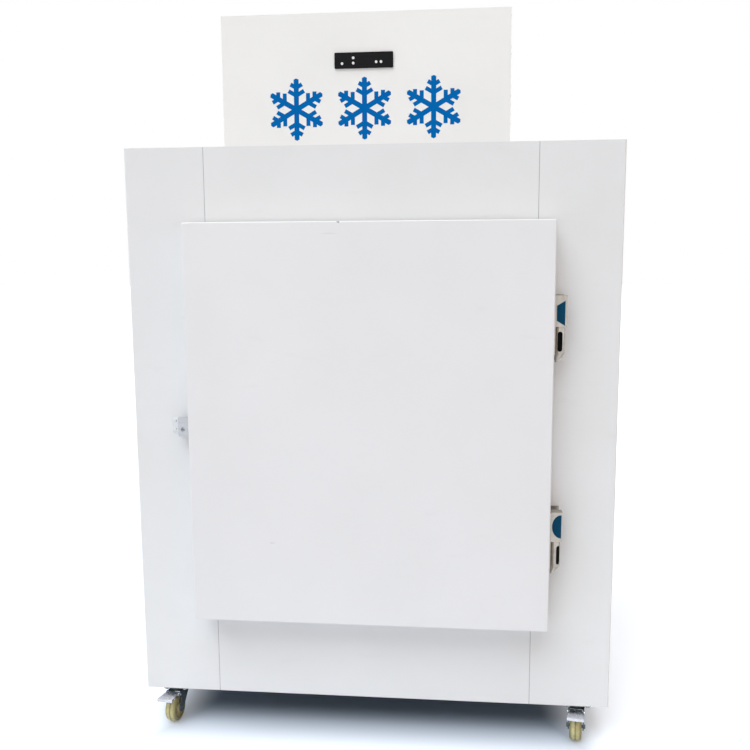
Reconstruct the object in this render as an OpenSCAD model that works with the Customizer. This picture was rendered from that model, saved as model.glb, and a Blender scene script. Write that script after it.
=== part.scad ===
// Upright freezer for bagged goods: insulated cabinet on four swivel casters, one overlay door
// with edge hinges and a hasp, and a sign header that hides the condensing unit on the roof.
// Millimetres. +Z is up, the door faces -Y and the floor is Z = 0.

/* [Cabinet] */
// Width of the cabinet
cabinet_w = 1270; // [1180:1:1360]
// Depth of the cabinet from its front face to its rear face
cabinet_d = 840; // [780:1:920]
// Height of the cabinet between the casters and the header
cabinet_h = 1477; // [1440:1:1560]
// Insulated thickness of the sides, rear, roof and floor
wall_t = 75; // [60:1:85]
// Insulated thickness of the front frame
front_t = 60; // [50:1:70]
// Thickness of the painted outer sheets
skin_t = 1; // [0.8:0.1:1.4]
// Thickness of the inner liner
liner_t = 1; // [0.8:0.1:2]
// Thickness of the base pan
base_t = 3; // [2:0.5:4]
// Outside radius of the folded front corners
fold_r = 4; // [2.5:0.5:6]
// Open joint between neighbouring front sheets
seam_gap = 1.5; // [1:0.1:2.5]
// Depth of the sheet edges folded in at each joint
seam_fold = 12; // [8:1:16]
// Thickness of the plastic trim round the doorway
trim_t = 12; // [9:1:15]
// Height of the floor rack
rack_h = 24; // [20:1:30]
// Width of one rack slat
slat_w = 42; // [34:1:48]
// Distance from slat to slat
slat_pitch = 76; // [66:1:90]

/* [Door] */
// Width of the door
door_w = 926; // [910:1:950]
// Height of the door
door_h = 1042; // [980:1:1070]
// Thickness of the door
door_t = 75; // [68:1:85]
// Height of the door's lower edge above the cabinet's lower edge
door_rise = 243; // [220:1:260]
// Gap between door and cabinet that the seal fills
seal_gap = 10; // [8:0.5:12]
// How far the door laps over the doorway above and below
door_lap = 50; // [44:1:56]
// How far the door laps over the doorway at each side
side_lap = 37.5; // [34:0.5:42]
// Corner radius of the door pan
door_r = 5; // [3:0.5:8]
// Width of the seal
seal_w = 22; // [18:1:24]
// Distance of the seal from the door's edges
seal_inset = 8; // [6:1:12]
// Height of the raised panel on the door's inner liner
plug_h = 14; // [10:1:20]
// Air gap between a soft seal and the face it closes on
soft_gap = 0.3; // [0.2:0.1:0.5]

/* [Hinges and hasp] */
// Height of one hinge
hinge_h = 166; // [156:1:176]
// Distance of the hinge pin from the door's edge
hinge_off = 16; // [16:0.5:18]
// Distance from the door's top edge to the top of the upper hinge
hinge_top = 184; // [160:1:200]
// Distance from the door's bottom edge to the foot of the lower hinge
hinge_foot = 144; // [120:1:180]
// Radius of the hinge pin
pin_r = 4; // [3:0.5:5]
// Radius of the hinge barrel
barrel_r = 12.5; // [11:0.5:13]
// Radial clearance round pins, axles and shafts that turn
run_gap = 0.05; // [0.03:0.01:0.08]
// Height of the hasp
hasp_h = 52; // [46:1:60]
// Height of the hasp's middle above the door's lower edge
hasp_rise = 513; // [450:1:580]
// Thickness of the hasp plates
hasp_t = 3; // [2.5:0.5:4]
// Radius of the padlock eye
eye_r = 5.5; // [4.5:0.5:6.5]

/* [Header] */
// Width of the header
header_w = 720; // [690:1:760]
// Height of the header
header_h = 317; // [308:1:340]
// Depth of the header hood
header_d = 680; // [660:1:710]
// Sideways offset of the header from the cabinet's middle
header_x = -8; // [-12:1:12]
// Thickness of the header's sheets
sheet_t = 1.2; // [1:0.1:1.6]
// Depth of the header panel's edge flanges
flange_d = 25; // [18:1:30]
// Width of the controller bezel
bezel_w = 146; // [140:1:154]
// Height of the controller bezel
bezel_h = 38; // [34:1:44]
// How far the bezel stands out of the header
bezel_t = 4; // [3:0.5:5]
// Height of the controller's middle above the cabinet's roof
controller_rise = 202; // [190:1:220]
// Radius of a key
key_r = 3.2; // [2.8:0.1:3.6]
// Clearance round a key
key_gap = 0.3; // [0.2:0.05:0.4]

/* [Cooling] */
// Width of the evaporator housing
evap_w = 700; // [660:1:740]
// Depth of the evaporator housing
evap_d = 300; // [285:1:320]
// Height of the evaporator housing
evap_h = 170; // [160:1:185]
// Radius of each evaporator fan
evap_fan_r = 68; // [60:1:68]
// Air space between the evaporator and the rear wall
evap_gap = 60; // [40:1:70]
// Width of the condensing unit's base
unit_w = 620; // [600:1:640]
// Depth of the condensing unit's base
unit_d = 500; // [490:1:520]
// Radius of the compressor shell
compressor_r = 84; // [76:1:88]
// Height of the compressor shell
compressor_h = 205; // [190:1:220]
// Width of the condenser coil
condenser_w = 380; // [360:1:400]
// Height of the condenser coil
condenser_h = 236; // [230:1:246]
// Radius of the condenser fan
condenser_fan_r = 104; // [90:1:106]
// Outside radius of the suction line
suction_r = 8; // [6:0.5:9]
// Outside radius of the liquid line
liquid_r = 4.8; // [3.2:0.2:5]
// Outside radius of the drain tube
drain_r = 9.5; // [8:0.5:11]

/* [Casters] */
// Overall height of a caster
caster_h = 100; // [99:1:104]
// Radius of a wheel
wheel_r = 37.5; // [34:0.5:37.5]
// Width of a wheel's tread
wheel_w = 31; // [28:1:32]
// Distance of a caster's swivel axis from the cabinet's side
caster_side = 78; // [70:1:95]
// Distance of a caster's swivel axis from the cabinet's front or rear
caster_end = 39; // [38:1:70]
// Distance of the wheel's axle from the swivel axis
trail = 28; // [25:1:30]
// Radius of an axle
axle_r = 4; // [3:0.5:5]
// Turn of the front left caster at rest
turn_front_left = -7; // [-27:1:27]
// Turn of the front right caster at rest
turn_front_right = -9; // [-27:1:27]
// Turn of the rear left caster at rest
turn_rear_left = 20; // [-27:1:27]
// Turn of the rear right caster at rest
turn_rear_right = -8; // [-27:1:27]

/* [Hidden] */
$fn = 48;

// Sheet colours
white = "#e9eaec";
liner_white = "#dfe3e6";
zinc = "#b9bdc2";
black = "#17181a";
copper = "#b4704a";
foam = "#e6d9ae";

// Outer faces of the cabinet, with the whole object's depth centred on Y = 0
side_x = cabinet_w / 2;
front_y = (door_t + seal_gap - cabinet_d) / 2;
rear_y = front_y + cabinet_d;
floor_z = caster_h;
roof_z = caster_h + cabinet_h;

// Foam faces round the storage space, and the liner's inner faces
foam_joint = 0.2;
foam_x = side_x - wall_t;
foam_front_y = front_y + front_t;
foam_rear_y = rear_y - wall_t;
foam_floor_z = floor_z + wall_t;
foam_roof_z = roof_z - wall_t;
room_x = foam_x - liner_t;
room_front_y = foam_front_y + liner_t;
room_rear_y = foam_rear_y - liner_t;
room_floor_z = foam_floor_z + liner_t;
room_roof_z = foam_roof_z - liner_t;

// The door's side edges, and the front joints, which are also the sides of the doorway
door_x = door_w / 2;
seam_x = door_x - side_lap;

// Door faces and the doorway's height
door_z = floor_z + door_rise;
door_top_z = door_z + door_h;
door_back_y = front_y - seal_gap;
door_front_y = door_back_y - door_t;
opening_z = door_z + door_lap;
opening_top_z = door_top_z - door_lap;
trim_back_y = room_front_y;
pan_t = skin_t;
plug_edge = 6;
plug_x = seam_x - trim_t - plug_edge;
plug_z = opening_z + trim_t + plug_edge;
plug_top_z = opening_top_z - trim_t - plug_edge;
liner_lip = 3;
seal_foot = 3;
seal_bulb_w = 14;

// Hinge: the pin stands beside the door's edge at the middle of its thickness
hinge_x = door_x + hinge_off;
hinge_y = door_back_y - door_t / 2;
hinge_reach = front_y - hinge_y;
hinge_foot_z = door_z + hinge_foot;
hinge_top_z = door_top_z - hinge_top - hinge_h;
hinge_plate = 4;
leaf_t = 3;
leaf_half = 28;
barrel_z = 22;
barrel_top = 88;
arm_z = barrel_top + 1;
cover_front = 16;
cover_back = 12;
cover_right = 16;
cover_r = 3;
pin_z = barrel_z + 4;
pin_top = hinge_h - 6;
web_half = 9;
slot_w = 12;
slot_z = 27;
slot_top = 77;
slot_back = -3;
upper_slot_turn = 0;
lower_slot_turn = 40;
base_right = 13;

// Hasp
hasp_z = door_z + hasp_rise;
hasp_wing_w = 42;
hasp_leg = 32;
hasp_y = front_y - 36;
hasp_gap = 0.5;
eye_x = -door_x - 29;
eye_drop = 8;
staple_x = -door_x - hasp_wing_w - 4;
staple_foot = 22;
staple_tab = 31;

// Header
hood_front_y = front_y + sheet_t;
hood_rear_y = front_y + header_d;
hood_x = header_w / 2;
header_top_z = roof_z + header_h;
louvre_rows = 9;
louvre_pitch = 24;
louvre_l = 190;
louvre_slot = 7;
louvre_out = 7;
louvre_top = louvre_slot / 2 + 5;
louvre_low = -louvre_slot / 2 - 1;
controller_x = header_x - 1;
controller_z = roof_z + controller_rise;
controller_d = 44;
body_margin = 4;
window_w = 36;
window_h = 22;
window_t = 1.5;
window_x = 2.5;
key_l = 6;
key_out = 1.2;
key_travel = 0.8;
key_left_at = [-54, -7.5];
key_up_at = [-26, 5.8];
key_down_at = [-26, -6.8];
key_right_inner_at = [31, -5];
key_right_outer_at = [43, -5];

// Evaporator
evap_rear_y = room_rear_y - evap_gap;
evap_front_y = evap_rear_y - evap_d;
evap_z = room_roof_z - evap_h;
evap_sheet = 1.2;
evap_fan_x = evap_w / 4;
evap_fan_z = room_roof_z - evap_h / 2;
evap_ring_r = evap_fan_r + 7;
guard_r = evap_ring_r + 4;
guard_rings = 5;
guard_bar = 3;
evap_fan_y = evap_front_y + 18;
evap_fan_depth = 22;
evap_motor_y = evap_front_y + 36;
evap_motor_r = 27;
evap_motor_l = 46;
strap_h = 18;
strap_t = 2.5;
blade_t = 1.6;
evap_coil_d = 110;
evap_tube_r = 4.5;
evap_coil_w = evap_w - evap_coil_d / 2 - 2 * evap_tube_r - 20;
evap_coil_h = evap_h - 30;
evap_coil_y = evap_rear_y - 20 - evap_coil_d / 2;
pan_h = 18;
pan_sheet = 1.5;
drain_x = -evap_w / 2 + 60;
drain_pan_y = evap_rear_y - 30;
drain_wall_y = rear_y - wall_t / 2;
drain_drop = 16;
drain_out = 36;
drain_fit = 0.2;
drain_pipe_r = drain_r + 1.5;

// Condensing unit
rail_h = 24;
rail_w = 36;
unit_t = 2.5;
unit_front_y = front_y + 70;
unit_z = roof_z + rail_h + unit_t;
compressor_x = header_x - unit_w / 2 + compressor_r + 34;
compressor_front = 30;
compressor_y = unit_front_y + compressor_r + compressor_front;
compressor_foot = 16;
stub_z = unit_z + compressor_foot + compressor_h * 0.72;
stub_l = 14;
condenser_d = 60;
condenser_x = header_x - 30;
condenser_y = unit_front_y + unit_d - condenser_d / 2 - 12;
shroud_d = 46;
shroud_y = condenser_y - condenser_d / 2 - shroud_d;
condenser_ring_r = condenser_fan_r + 6;
condenser_z = unit_z + condenser_h / 2 + 2;
fan_depth = 34;
condenser_fan_y = shroud_y + 12;
motor_gap = 30;
motor_y = condenser_fan_y - motor_gap;
motor_l = 62;
motor_r = 38;
post_w = 44;
post_t = 4;
post_foot_w = 68;
post_foot_d = 40;
shaft_r = 4;
line_x = header_x + unit_w / 2 - 22;
line_step = 22;
line_y = evap_coil_y;
line_fit = 0.3;
line_rise = 58;
box_w = 120;
box_d = 84;
box_h = 150;
box_x = header_x + unit_w / 2 - box_w / 2 - 44;
box_y = unit_front_y + box_d / 2 + 20;
gland_x = header_x + hood_x - 46;
gland_z = roof_z + 52;
gland_r = 13;
cable_r = 4.5;

// Casters
plate_t = 3;
plate_w = 70;
plate_d = 72;
plate_hole_r = 4.25;
plate_slot = 4;
race_r = 26;
race_z = caster_h - plate_t - 8;
crown_top = race_z - 0.3;
crown_z = crown_top - 6.7;
king_r = 5;
nut_h = 6;
fork_gap = wheel_w + 5;
fork_t = 3;
crown_front = -22;
crown_l = 46;
hub_w = fork_gap - 2;
hub_r = 11;
tyre_t = 12;
tyre_edge_r = 6;
groove_r = 2;
axle_end = 4;
axle_boss_r = 10.5;
pivot_y = -trail - 8;
pivot_z = crown_z - 1;
pivot_r = 3;
ear_r = 7;
pedal_w = fork_gap - 3;
pedal_near = 39;
pedal_wide = 44;
pedal_reach = 56;
pedal_rise = 5;
pedal_t = 2.5;
pedal_lip = 5;
shoe_w = wheel_w - 9;
caster_x = side_x - caster_side;
caster_front_y = front_y + caster_end;
caster_rear_y = rear_y - caster_end;

// ---- Shapes used by several pieces ----

// Rectangle with round corners, centred
module round_rect(w, h, r) {
  square([w - 2 * r, h], center = true);
  square([w, h - 2 * r], center = true);
  for (x = [-1, 1], y = [-1, 1])
    translate([x * (w / 2 - r), y * (h / 2 - r)])
      circle(r);
}

// Plate in the XZ plane with round corners, growing towards +Y from y
module face_plate(x, y, z, w, h, t, r) {
  translate([x, y + t, z])
    rotate([90, 0, 0])
      linear_extrude(t)
        round_rect(w, h, r);
}

// Cylinder along Y that starts at y and grows towards +Y
module y_rod(x, y, z, r, l) {
  translate([x, y + l, z])
    rotate([90, 0, 0])
      cylinder(r = r, h = l);
}

// Block between two opposite corners
module block(low, high) {
  translate(low)
    cube(high - low);
}

// Slot that runs along X, cut through along Z
module slot_hole(length, r, t) {
  translate([-length / 2, -r, 0])
    cube([length, 2 * r, t]);
  for (x = [-1, 1])
    translate([x * length / 2, 0, 0])
      cylinder(r = r, h = t);
}

// Round tube from one point to the next, with a swelled elbow fitting at each inner point
module tube_run(points, r) {
  for (i = [0 : len(points) - 2]) {
    leg = points[i + 1] - points[i];
    translate(points[i])
      rotate([0, acos(leg.z / norm(leg)), atan2(leg.y, leg.x)])
        cylinder(r = r, h = norm(leg));
    if (i > 0)
      translate(points[i])
        sphere(r * 1.12);
  }
}

// Plan of the cabinet drawn inwards by d, with its front corners round
module cabinet_plan(d) {
  r = fold_r - d;
  w = side_x - d;
  difference() {
    translate([-w, front_y + d])
      square([2 * w, cabinet_d - 2 * d]);
    for (x = [-1, 1])
      translate([x * (w - r / 2), front_y + d + r / 2])
        square([r, r], center = true);
  }
  for (x = [-1, 1])
    translate([x * (w - r), front_y + d + r])
      circle(r);
}

// Finned coil: recessed core, fins, two end plates and the return bends, centred in X and Y
module finned_coil(w, d, h, pitch, tube_r) {
  fins = floor((w - 40) / pitch);
  rows = floor((h - 20) / 40);
  end_t = 2;
  translate([-w / 2, -d / 2 + 3, 3])
    cube([w, d - 6, h - 6]);
  for (i = [0 : fins])
    translate([-fins * pitch / 2 + i * pitch - 0.75, -d / 2, 1])
      cube([1.5, d, h - 2]);
  for (x = [-1, 1]) {
    translate([x * (w / 2 - end_t / 2) - end_t / 2, -d / 2, 0])
      cube([end_t, d, h]);
    for (i = [0 : rows - 1])
      translate([x * w / 2, 0, h / 2 + (i - (rows - 1) / 2) * 40])
        rotate(-x * 90)
          rotate_extrude(angle = 180)
            translate([d / 4, 0])
              circle(tube_r);
  }
}

// Fan wheel along Z: hub, shaft and cambered blades cut from a rolled sheet
module fan_wheel(r, depth, blades, shaft_l, shaft) {
  hub = r * 0.28;
  roll = r * 0.9;
  cylinder(r = hub, h = depth, center = true);
  translate([0, 0, depth / 2])
    cylinder(r = shaft, h = shaft_l);
  for (i = [0 : blades - 1])
    rotate(i * 360 / blades)
      intersection() {
        linear_extrude(depth, center = true)
          intersection() {
            circle(r);
            polygon([[0, 0], [2 * r, -r * 0.95], [2 * r, r * 0.95]]);
          }
        rotate([27, 0, 0])
          translate([0, 0, -roll])
            rotate([0, 90, 0])
              difference() {
                cylinder(r = roll + blade_t, h = r);
                cylinder(r = roll, h = r);
              }
      }
}

// ---- Cabinet ----

// Holes that the two refrigerant lines pass through on their way down to the evaporator
module line_holes(clearance) {
  translate([line_x, line_y, evap_z])
    cylinder(r = suction_r + clearance, h = roof_z + rail_h + 60 - evap_z);
  translate([line_x - line_step, line_y, evap_z])
    cylinder(r = liquid_r + clearance, h = roof_z + rail_h + 60 - evap_z);
}

// Route of the drain tube: out of the pan, back into the rear wall and down through the floor
function drain_route() = [
  [drain_x, drain_pan_y, evap_z - pan_h],
  [drain_x, drain_pan_y, evap_z - pan_h - drain_drop],
  [drain_x, drain_wall_y, evap_z - pan_h - drain_drop - 12],
  [drain_x, drain_wall_y, floor_z]
];

// Foam panels with butt joints: floor, roof, rear, two sides, and round the doorway two stiles
// and two rails
module foam_panels() {
  low = foam_floor_z + foam_joint;
  high = foam_roof_z - foam_joint;
  rail_x = seam_x - foam_joint;
  block([-side_x, front_y, floor_z], [side_x, rear_y, foam_floor_z]);
  block([-side_x, front_y, foam_roof_z], [side_x, rear_y, roof_z]);
  block([-side_x, foam_rear_y, low], [side_x, rear_y, high]);
  for (s = [-1, 1]) {
    translate([s * (side_x + foam_x) / 2 - wall_t / 2, foam_front_y + foam_joint, low])
      cube([wall_t, foam_rear_y - foam_front_y - 2 * foam_joint, high - low]);
    translate([s * (side_x + seam_x) / 2 - (side_x - seam_x) / 2, front_y, low])
      cube([side_x - seam_x, front_t, high - low]);
  }
  block([-rail_x, front_y, low], [rail_x, foam_front_y, opening_z]);
  block([-rail_x, front_y, opening_top_z], [rail_x, foam_front_y, high]);
}

module insulation() {
  color(foam)
    difference() {
      intersection() {
        foam_panels();
        translate([0, 0, floor_z + base_t])
          linear_extrude(cabinet_h - base_t - skin_t)
            cabinet_plan(skin_t);
      }
      for (x = [-1, 1])
        translate([x * seam_x - seam_gap / 2 - skin_t, front_y, floor_z])
          cube([seam_gap + 2 * skin_t, seam_fold, cabinet_h]);
      line_holes(line_fit);
      tube_run(drain_route(), drain_pipe_r + drain_fit);
    }
}

// Side sheet: the side itself, the round front corner and the return to the front joint
module side_skin(side) {
  color(white)
    translate([0, 0, floor_z])
      linear_extrude(cabinet_h - skin_t) {
        difference() {
          intersection() {
            cabinet_plan(0);
            translate([side * (seam_x + seam_gap / 2 + side_x), (front_y + rear_y) / 2])
              square([2 * side_x, cabinet_d + 2], center = true);
          }
          cabinet_plan(skin_t);
          translate([-side_x + skin_t, rear_y - skin_t - 1])
            square([cabinet_w - 2 * skin_t, skin_t + 2]);
        }
        translate([side * (seam_x + seam_gap / 2 + skin_t / 2), front_y + seam_fold / 2])
          square([skin_t, seam_fold], center = true);
      }
}

module left_skin() {
  side_skin(-1);
}

module right_skin() {
  side_skin(1);
}

module rear_skin() {
  color(white)
    block([-side_x + skin_t, rear_y - skin_t, floor_z], [side_x - skin_t, rear_y, roof_z - skin_t]);
}

module roof_skin() {
  color(white)
    difference() {
      translate([0, 0, roof_z - skin_t])
        linear_extrude(skin_t)
          cabinet_plan(0);
      line_holes(line_fit);
    }
}

module base_pan() {
  color(zinc)
    difference() {
      translate([0, 0, floor_z])
        linear_extrude(base_t)
          difference() {
            cabinet_plan(skin_t);
            for (x = [-1, 1])
              translate([x * seam_x, front_y])
                square([seam_gap + 2 * skin_t, 2 * seam_fold], center = true);
          }
      translate([drain_x, drain_wall_y, floor_z - 1])
        cylinder(r = drain_pipe_r + drain_fit, h = base_t + 2);
    }
}

// Front sheet between the two joints, with its side edges folded in
module front_skin(z, top_z) {
  color(white) {
    half = seam_x - seam_gap / 2;
    block([-half, front_y, z], [half, front_y + skin_t, top_z]);
    for (x = [-1, 1])
      translate([x * (half - skin_t / 2) - skin_t / 2, front_y, z])
        cube([skin_t, seam_fold, top_z - z]);
  }
}

module front_top_skin() {
  front_skin(opening_top_z, roof_z - skin_t);
}

module front_bottom_skin() {
  front_skin(floor_z, opening_z);
}

module inner_liner() {
  color(liner_white)
    difference() {
      block([-foam_x, foam_front_y, foam_floor_z], [foam_x, foam_rear_y, foam_roof_z]);
      block([-room_x, room_front_y, room_floor_z], [room_x, room_rear_y, room_roof_z]);
      block([-seam_x, front_y, opening_z], [seam_x, room_front_y + 1, opening_top_z]);
      line_holes(line_fit);
      tube_run(drain_route(), drain_pipe_r + drain_fit);
    }
}

// Plastic breaker trim: lines the doorway and steps back behind its front half
module opening_trim() {
  step = trim_t / 3;
  w = 2 * seam_x;
  h = opening_top_z - opening_z;
  z = (opening_z + opening_top_z) / 2;
  color("#cfd4d8")
    difference() {
      block([-seam_x, front_y, opening_z], [seam_x, trim_back_y, opening_top_z]);
      face_plate(0, front_y - 1, z, w - 2 * trim_t, h - 2 * trim_t, trim_back_y - front_y + 2, 14);
      face_plate(0, front_y + seam_fold * 2, z, w - 2 * trim_t + 2 * step,
                 h - 2 * trim_t + 2 * step, trim_back_y - front_y, 14);
    }
}

// Duckboard of three bearers and a row of slats, resting on the liner's floor
module floor_rack() {
  w = 2 * room_x - 16;
  d = room_rear_y - room_front_y - 16;
  mid_y = (room_front_y + room_rear_y) / 2;
  bearer_h = rack_h - 8;
  slats = floor((w - slat_w) / slat_pitch);
  color("#c3c8cc") {
    for (y = [-1, 0, 1])
      translate([-w / 2, mid_y + y * (d / 2 - 30) - 10, room_floor_z])
        cube([w, 20, bearer_h]);
    for (i = [0 : slats])
      translate([(i - slats / 2) * slat_pitch, mid_y, room_floor_z + bearer_h])
        linear_extrude(rack_h - bearer_h)
          round_rect(slat_w, d, 3);
  }
}

// ---- Evaporator ----

module evaporator_housing() {
  color("#d4d8db")
    difference() {
      block([-evap_w / 2, evap_front_y, evap_z], [evap_w / 2, evap_rear_y, room_roof_z]);
      block([-evap_w / 2 + evap_sheet, evap_front_y + evap_sheet, evap_z - 1],
            [evap_w / 2 - evap_sheet, evap_rear_y + 1, room_roof_z - evap_sheet]);
      for (x = [-1, 1])
        y_rod(x * evap_fan_x, evap_front_y - 1, evap_fan_z, evap_ring_r, evap_sheet + 2);
      line_holes(line_fit);
    }
}

module evaporator_coil() {
  color("#c9ccd0")
    translate([0, evap_coil_y, room_roof_z - evap_sheet - evap_coil_h])
      finned_coil(evap_coil_w, evap_coil_d, evap_coil_h, 15, evap_tube_r);
}

// Two motors, each on a strap bent forward to the housing's front sheet
module evaporator_motors() {
  arm = evap_ring_r + 12;
  foot_y = evap_front_y + evap_sheet;
  for (x = [-1, 1])
    translate([x * evap_fan_x, 0, evap_fan_z])
      difference() {
        union() {
          color("#2a2c2f")
            y_rod(0, evap_motor_y, 0, evap_motor_r, evap_motor_l);
          color(zinc)
            block([-arm, evap_motor_y, -strap_h / 2], [arm, evap_motor_y + strap_t, strap_h / 2]);
          color(zinc)
            for (s = [-1, 1])
              translate([s * arm - strap_t / 2, foot_y, -strap_h / 2])
                cube([strap_t, evap_motor_y + strap_t - foot_y, strap_h]);
        }
        y_rod(0, evap_motor_y - 1, 0, shaft_r + run_gap, 22);
      }
}

// Guards: flat rings carried by four spokes that lie on the face of the housing
module evaporator_guards() {
  color(black)
    for (x = [-1, 1])
      translate([x * evap_fan_x, evap_front_y, evap_fan_z])
        rotate([90, 0, 0]) {
          for (i = [1 : guard_rings])
            linear_extrude(guard_bar)
              difference() {
                circle(guard_r * i / guard_rings);
                circle(guard_r * i / guard_rings - 2);
              }
          for (a = [45 : 90 : 315])
            rotate(a)
              translate([guard_r / guard_rings - 1.5, -guard_bar / 2, 0])
                cube([guard_r - guard_r / guard_rings, guard_bar, guard_bar - 1]);
        }
}

module evaporator_fan(side) {
  color("#3a3d41")
    translate([side * evap_fan_x, evap_fan_y, evap_fan_z])
      rotate([-90, 0, 0])
        fan_wheel(evap_fan_r, evap_fan_depth, 4, evap_motor_y + 18 - evap_fan_y - evap_fan_depth / 2,
                  shaft_r);
}

module evaporator_fan_left() {
  evaporator_fan(-1);
}

module evaporator_fan_right() {
  evaporator_fan(1);
}

// Tray that closes the housing from below and drips into the drain tube
module drain_pan() {
  color(zinc)
    difference() {
      block([-evap_w / 2, evap_front_y, evap_z - pan_h], [evap_w / 2, evap_rear_y, evap_z]);
      block([-evap_w / 2 + pan_sheet, evap_front_y + pan_sheet, evap_z - pan_h + pan_sheet],
            [evap_w / 2 - pan_sheet, evap_rear_y - pan_sheet, evap_z + 1]);
      translate([drain_x, drain_pan_y, evap_z - pan_h - 1])
        cylinder(r = drain_r - 2, h = 4);
    }
}

module drain_tube() {
  color("#d9dadb")
    difference() {
      union() {
        tube_run(drain_route(), drain_pipe_r);
        translate([drain_x, drain_wall_y, floor_z - drain_out])
          cylinder(r = drain_r, h = drain_out + 1);
      }
      translate([drain_x, drain_wall_y, floor_z - drain_out - 1])
        cylinder(r = drain_r - 2, h = drain_out + 20);
      translate([drain_x, drain_pan_y, evap_z - pan_h - 8])
        cylinder(r = drain_r - 2, h = 9);
    }
}

// ---- Header and condensing unit ----

// Front pan of the header with the cut-out that takes the controller
module header_panel() {
  z = roof_z + header_h / 2;
  inner_w = header_w - 2 * sheet_t;
  inner_h = header_h - sheet_t;
  color(white)
    difference() {
      union() {
        face_plate(header_x, front_y, z, header_w, header_h, sheet_t, 2);
        difference() {
          translate([header_x - inner_w / 2, front_y, roof_z])
            cube([inner_w, flange_d, inner_h]);
          translate([header_x - inner_w / 2 + sheet_t, front_y - 1, roof_z + sheet_t])
            cube([inner_w - 2 * sheet_t, flange_d + 2, inner_h - 2 * sheet_t]);
        }
      }
      face_plate(controller_x, front_y - 1, controller_z, bezel_w - 2 * body_margin + 0.6,
                 bezel_h - 2 * body_margin + 0.6, flange_d, 1);
    }
}

// Repeats a louvre over the banks on both sides of the hood; X = 0 is the side's outer face
module at_louvres() {
  for (x = [-1, 1], c = [-1, 1], i = [0 : louvre_rows - 1])
    translate([header_x + x * hood_x, (hood_front_y + hood_rear_y) / 2 + c * (louvre_l + 50) / 2,
               roof_z + header_h / 2 + (i - (louvre_rows - 1) / 2) * louvre_pitch])
      scale([x, 1, 1])
        children();
}

// Outside of a pressed louvre, which slopes outwards and has closed ends
module louvre_shell() {
  rotate([90, 0, 0])
    linear_extrude(louvre_l + 2 * sheet_t, center = true)
      polygon([
        [-sheet_t / 2, louvre_low], [-sheet_t / 2, louvre_top], [0, louvre_top],
        [louvre_out, louvre_low + 2], [louvre_out, louvre_low]
      ]);
}

// Slot in the sheet and the hollow behind the louvre, open at its lower edge
module louvre_hollow() {
  in = louvre_out - sheet_t;
  rotate([90, 0, 0])
    linear_extrude(louvre_l, center = true)
      polygon([
        [-2 * sheet_t, -louvre_slot / 2], [-2 * sheet_t, louvre_slot / 2], [0, louvre_slot / 2],
        [0, louvre_top - 2], [in, louvre_low + 2 - sheet_t / 2], [in, louvre_low - 1],
        [0, louvre_low - 1], [0, -louvre_slot / 2]
      ]);
}

// Folded hood: roof and two sides, each side with two banks of louvres
module header_hood() {
  color(white)
    difference() {
      union() {
        block([header_x - hood_x, hood_front_y, roof_z], [header_x + hood_x, hood_rear_y, header_top_z]);
        at_louvres()
          louvre_shell();
      }
      block([header_x - hood_x + sheet_t, hood_front_y - 1, roof_z - 1],
            [header_x + hood_x - sheet_t, hood_rear_y + 1, header_top_z - sheet_t]);
      at_louvres()
        louvre_hollow();
    }
}

// Slotted rear guard between the hood's sides
module rear_guard() {
  w = header_w - 2 * sheet_t;
  h = header_h - sheet_t;
  bars = floor((w - 150) / 18);
  slot_l = h - 110;
  slot_r = 4.5;
  color(white)
    difference() {
      block([header_x - w / 2, hood_rear_y - sheet_t, roof_z], [header_x + w / 2, hood_rear_y, roof_z + h]);
      for (i = [0 : bars])
        translate([header_x + (i - bars / 2) * 18, hood_rear_y + 1, roof_z + h / 2 + 20])
          rotate([90, 90, 0])
            slot_hole(slot_l, slot_r, sheet_t + 2);
      y_rod(gland_x, hood_rear_y - sheet_t - 1, gland_z, 8.3, sheet_t + 2);
    }
}

// Base plate on two hat rails that stand on the roof
module unit_base() {
  color(zinc)
    difference() {
      union() {
        translate([header_x - unit_w / 2, unit_front_y, roof_z + rail_h])
          cube([unit_w, unit_d, unit_t]);
        for (y = [60, unit_d - 60 - rail_w])
          translate([header_x - unit_w / 2, unit_front_y + y, roof_z])
            cube([unit_w, rail_w, rail_h]);
      }
      for (y = [60, unit_d - 60 - rail_w])
        translate([header_x - unit_w / 2 - 1, unit_front_y + y + unit_t, roof_z - 1])
          cube([unit_w + 2, rail_w - 2 * unit_t, rail_h + 1]);
    }
}

// Hermetic shell with its weld flange, foot plate, rubber mounts, terminal cover and stubs
module compressor() {
  dome_r = compressor_r * 1.35;
  translate([compressor_x, compressor_y, unit_z]) {
    color(black) {
      translate([0, 0, compressor_foot])
        rotate_extrude()
          intersection() {
            square([compressor_r, compressor_h]);
            translate([0, dome_r])
              circle(dome_r);
            translate([0, compressor_h - dome_r])
              circle(dome_r);
          }
      translate([0, 0, compressor_foot + compressor_h * 0.55])
        cylinder(r = compressor_r + 4, h = 5);
      translate([0, 0, compressor_foot])
        linear_extrude(4)
          round_rect(2 * compressor_r + 24, 2 * compressor_r - 20, 14);
      translate([compressor_r + 6, 0, compressor_foot + compressor_h * 0.36])
        cube([34, 62, 56], center = true);
      translate([compressor_r - 6, 0, stub_z - unit_z])
        rotate([0, 90, 0])
          cylinder(r = suction_r + 3, h = stub_l + 6);
    }
    color("#303236")
      for (x = [-1, 1], y = [-1, 1])
        translate([x * (compressor_r - 6), y * (compressor_r - 26), 0])
          cylinder(r = 11, h = compressor_foot);
  }
}

module condenser_coil() {
  color("#3c4045")
    translate([condenser_x, condenser_y, unit_z])
      finned_coil(condenser_w, condenser_d, condenser_h, 12, 4.8);
}

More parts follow.
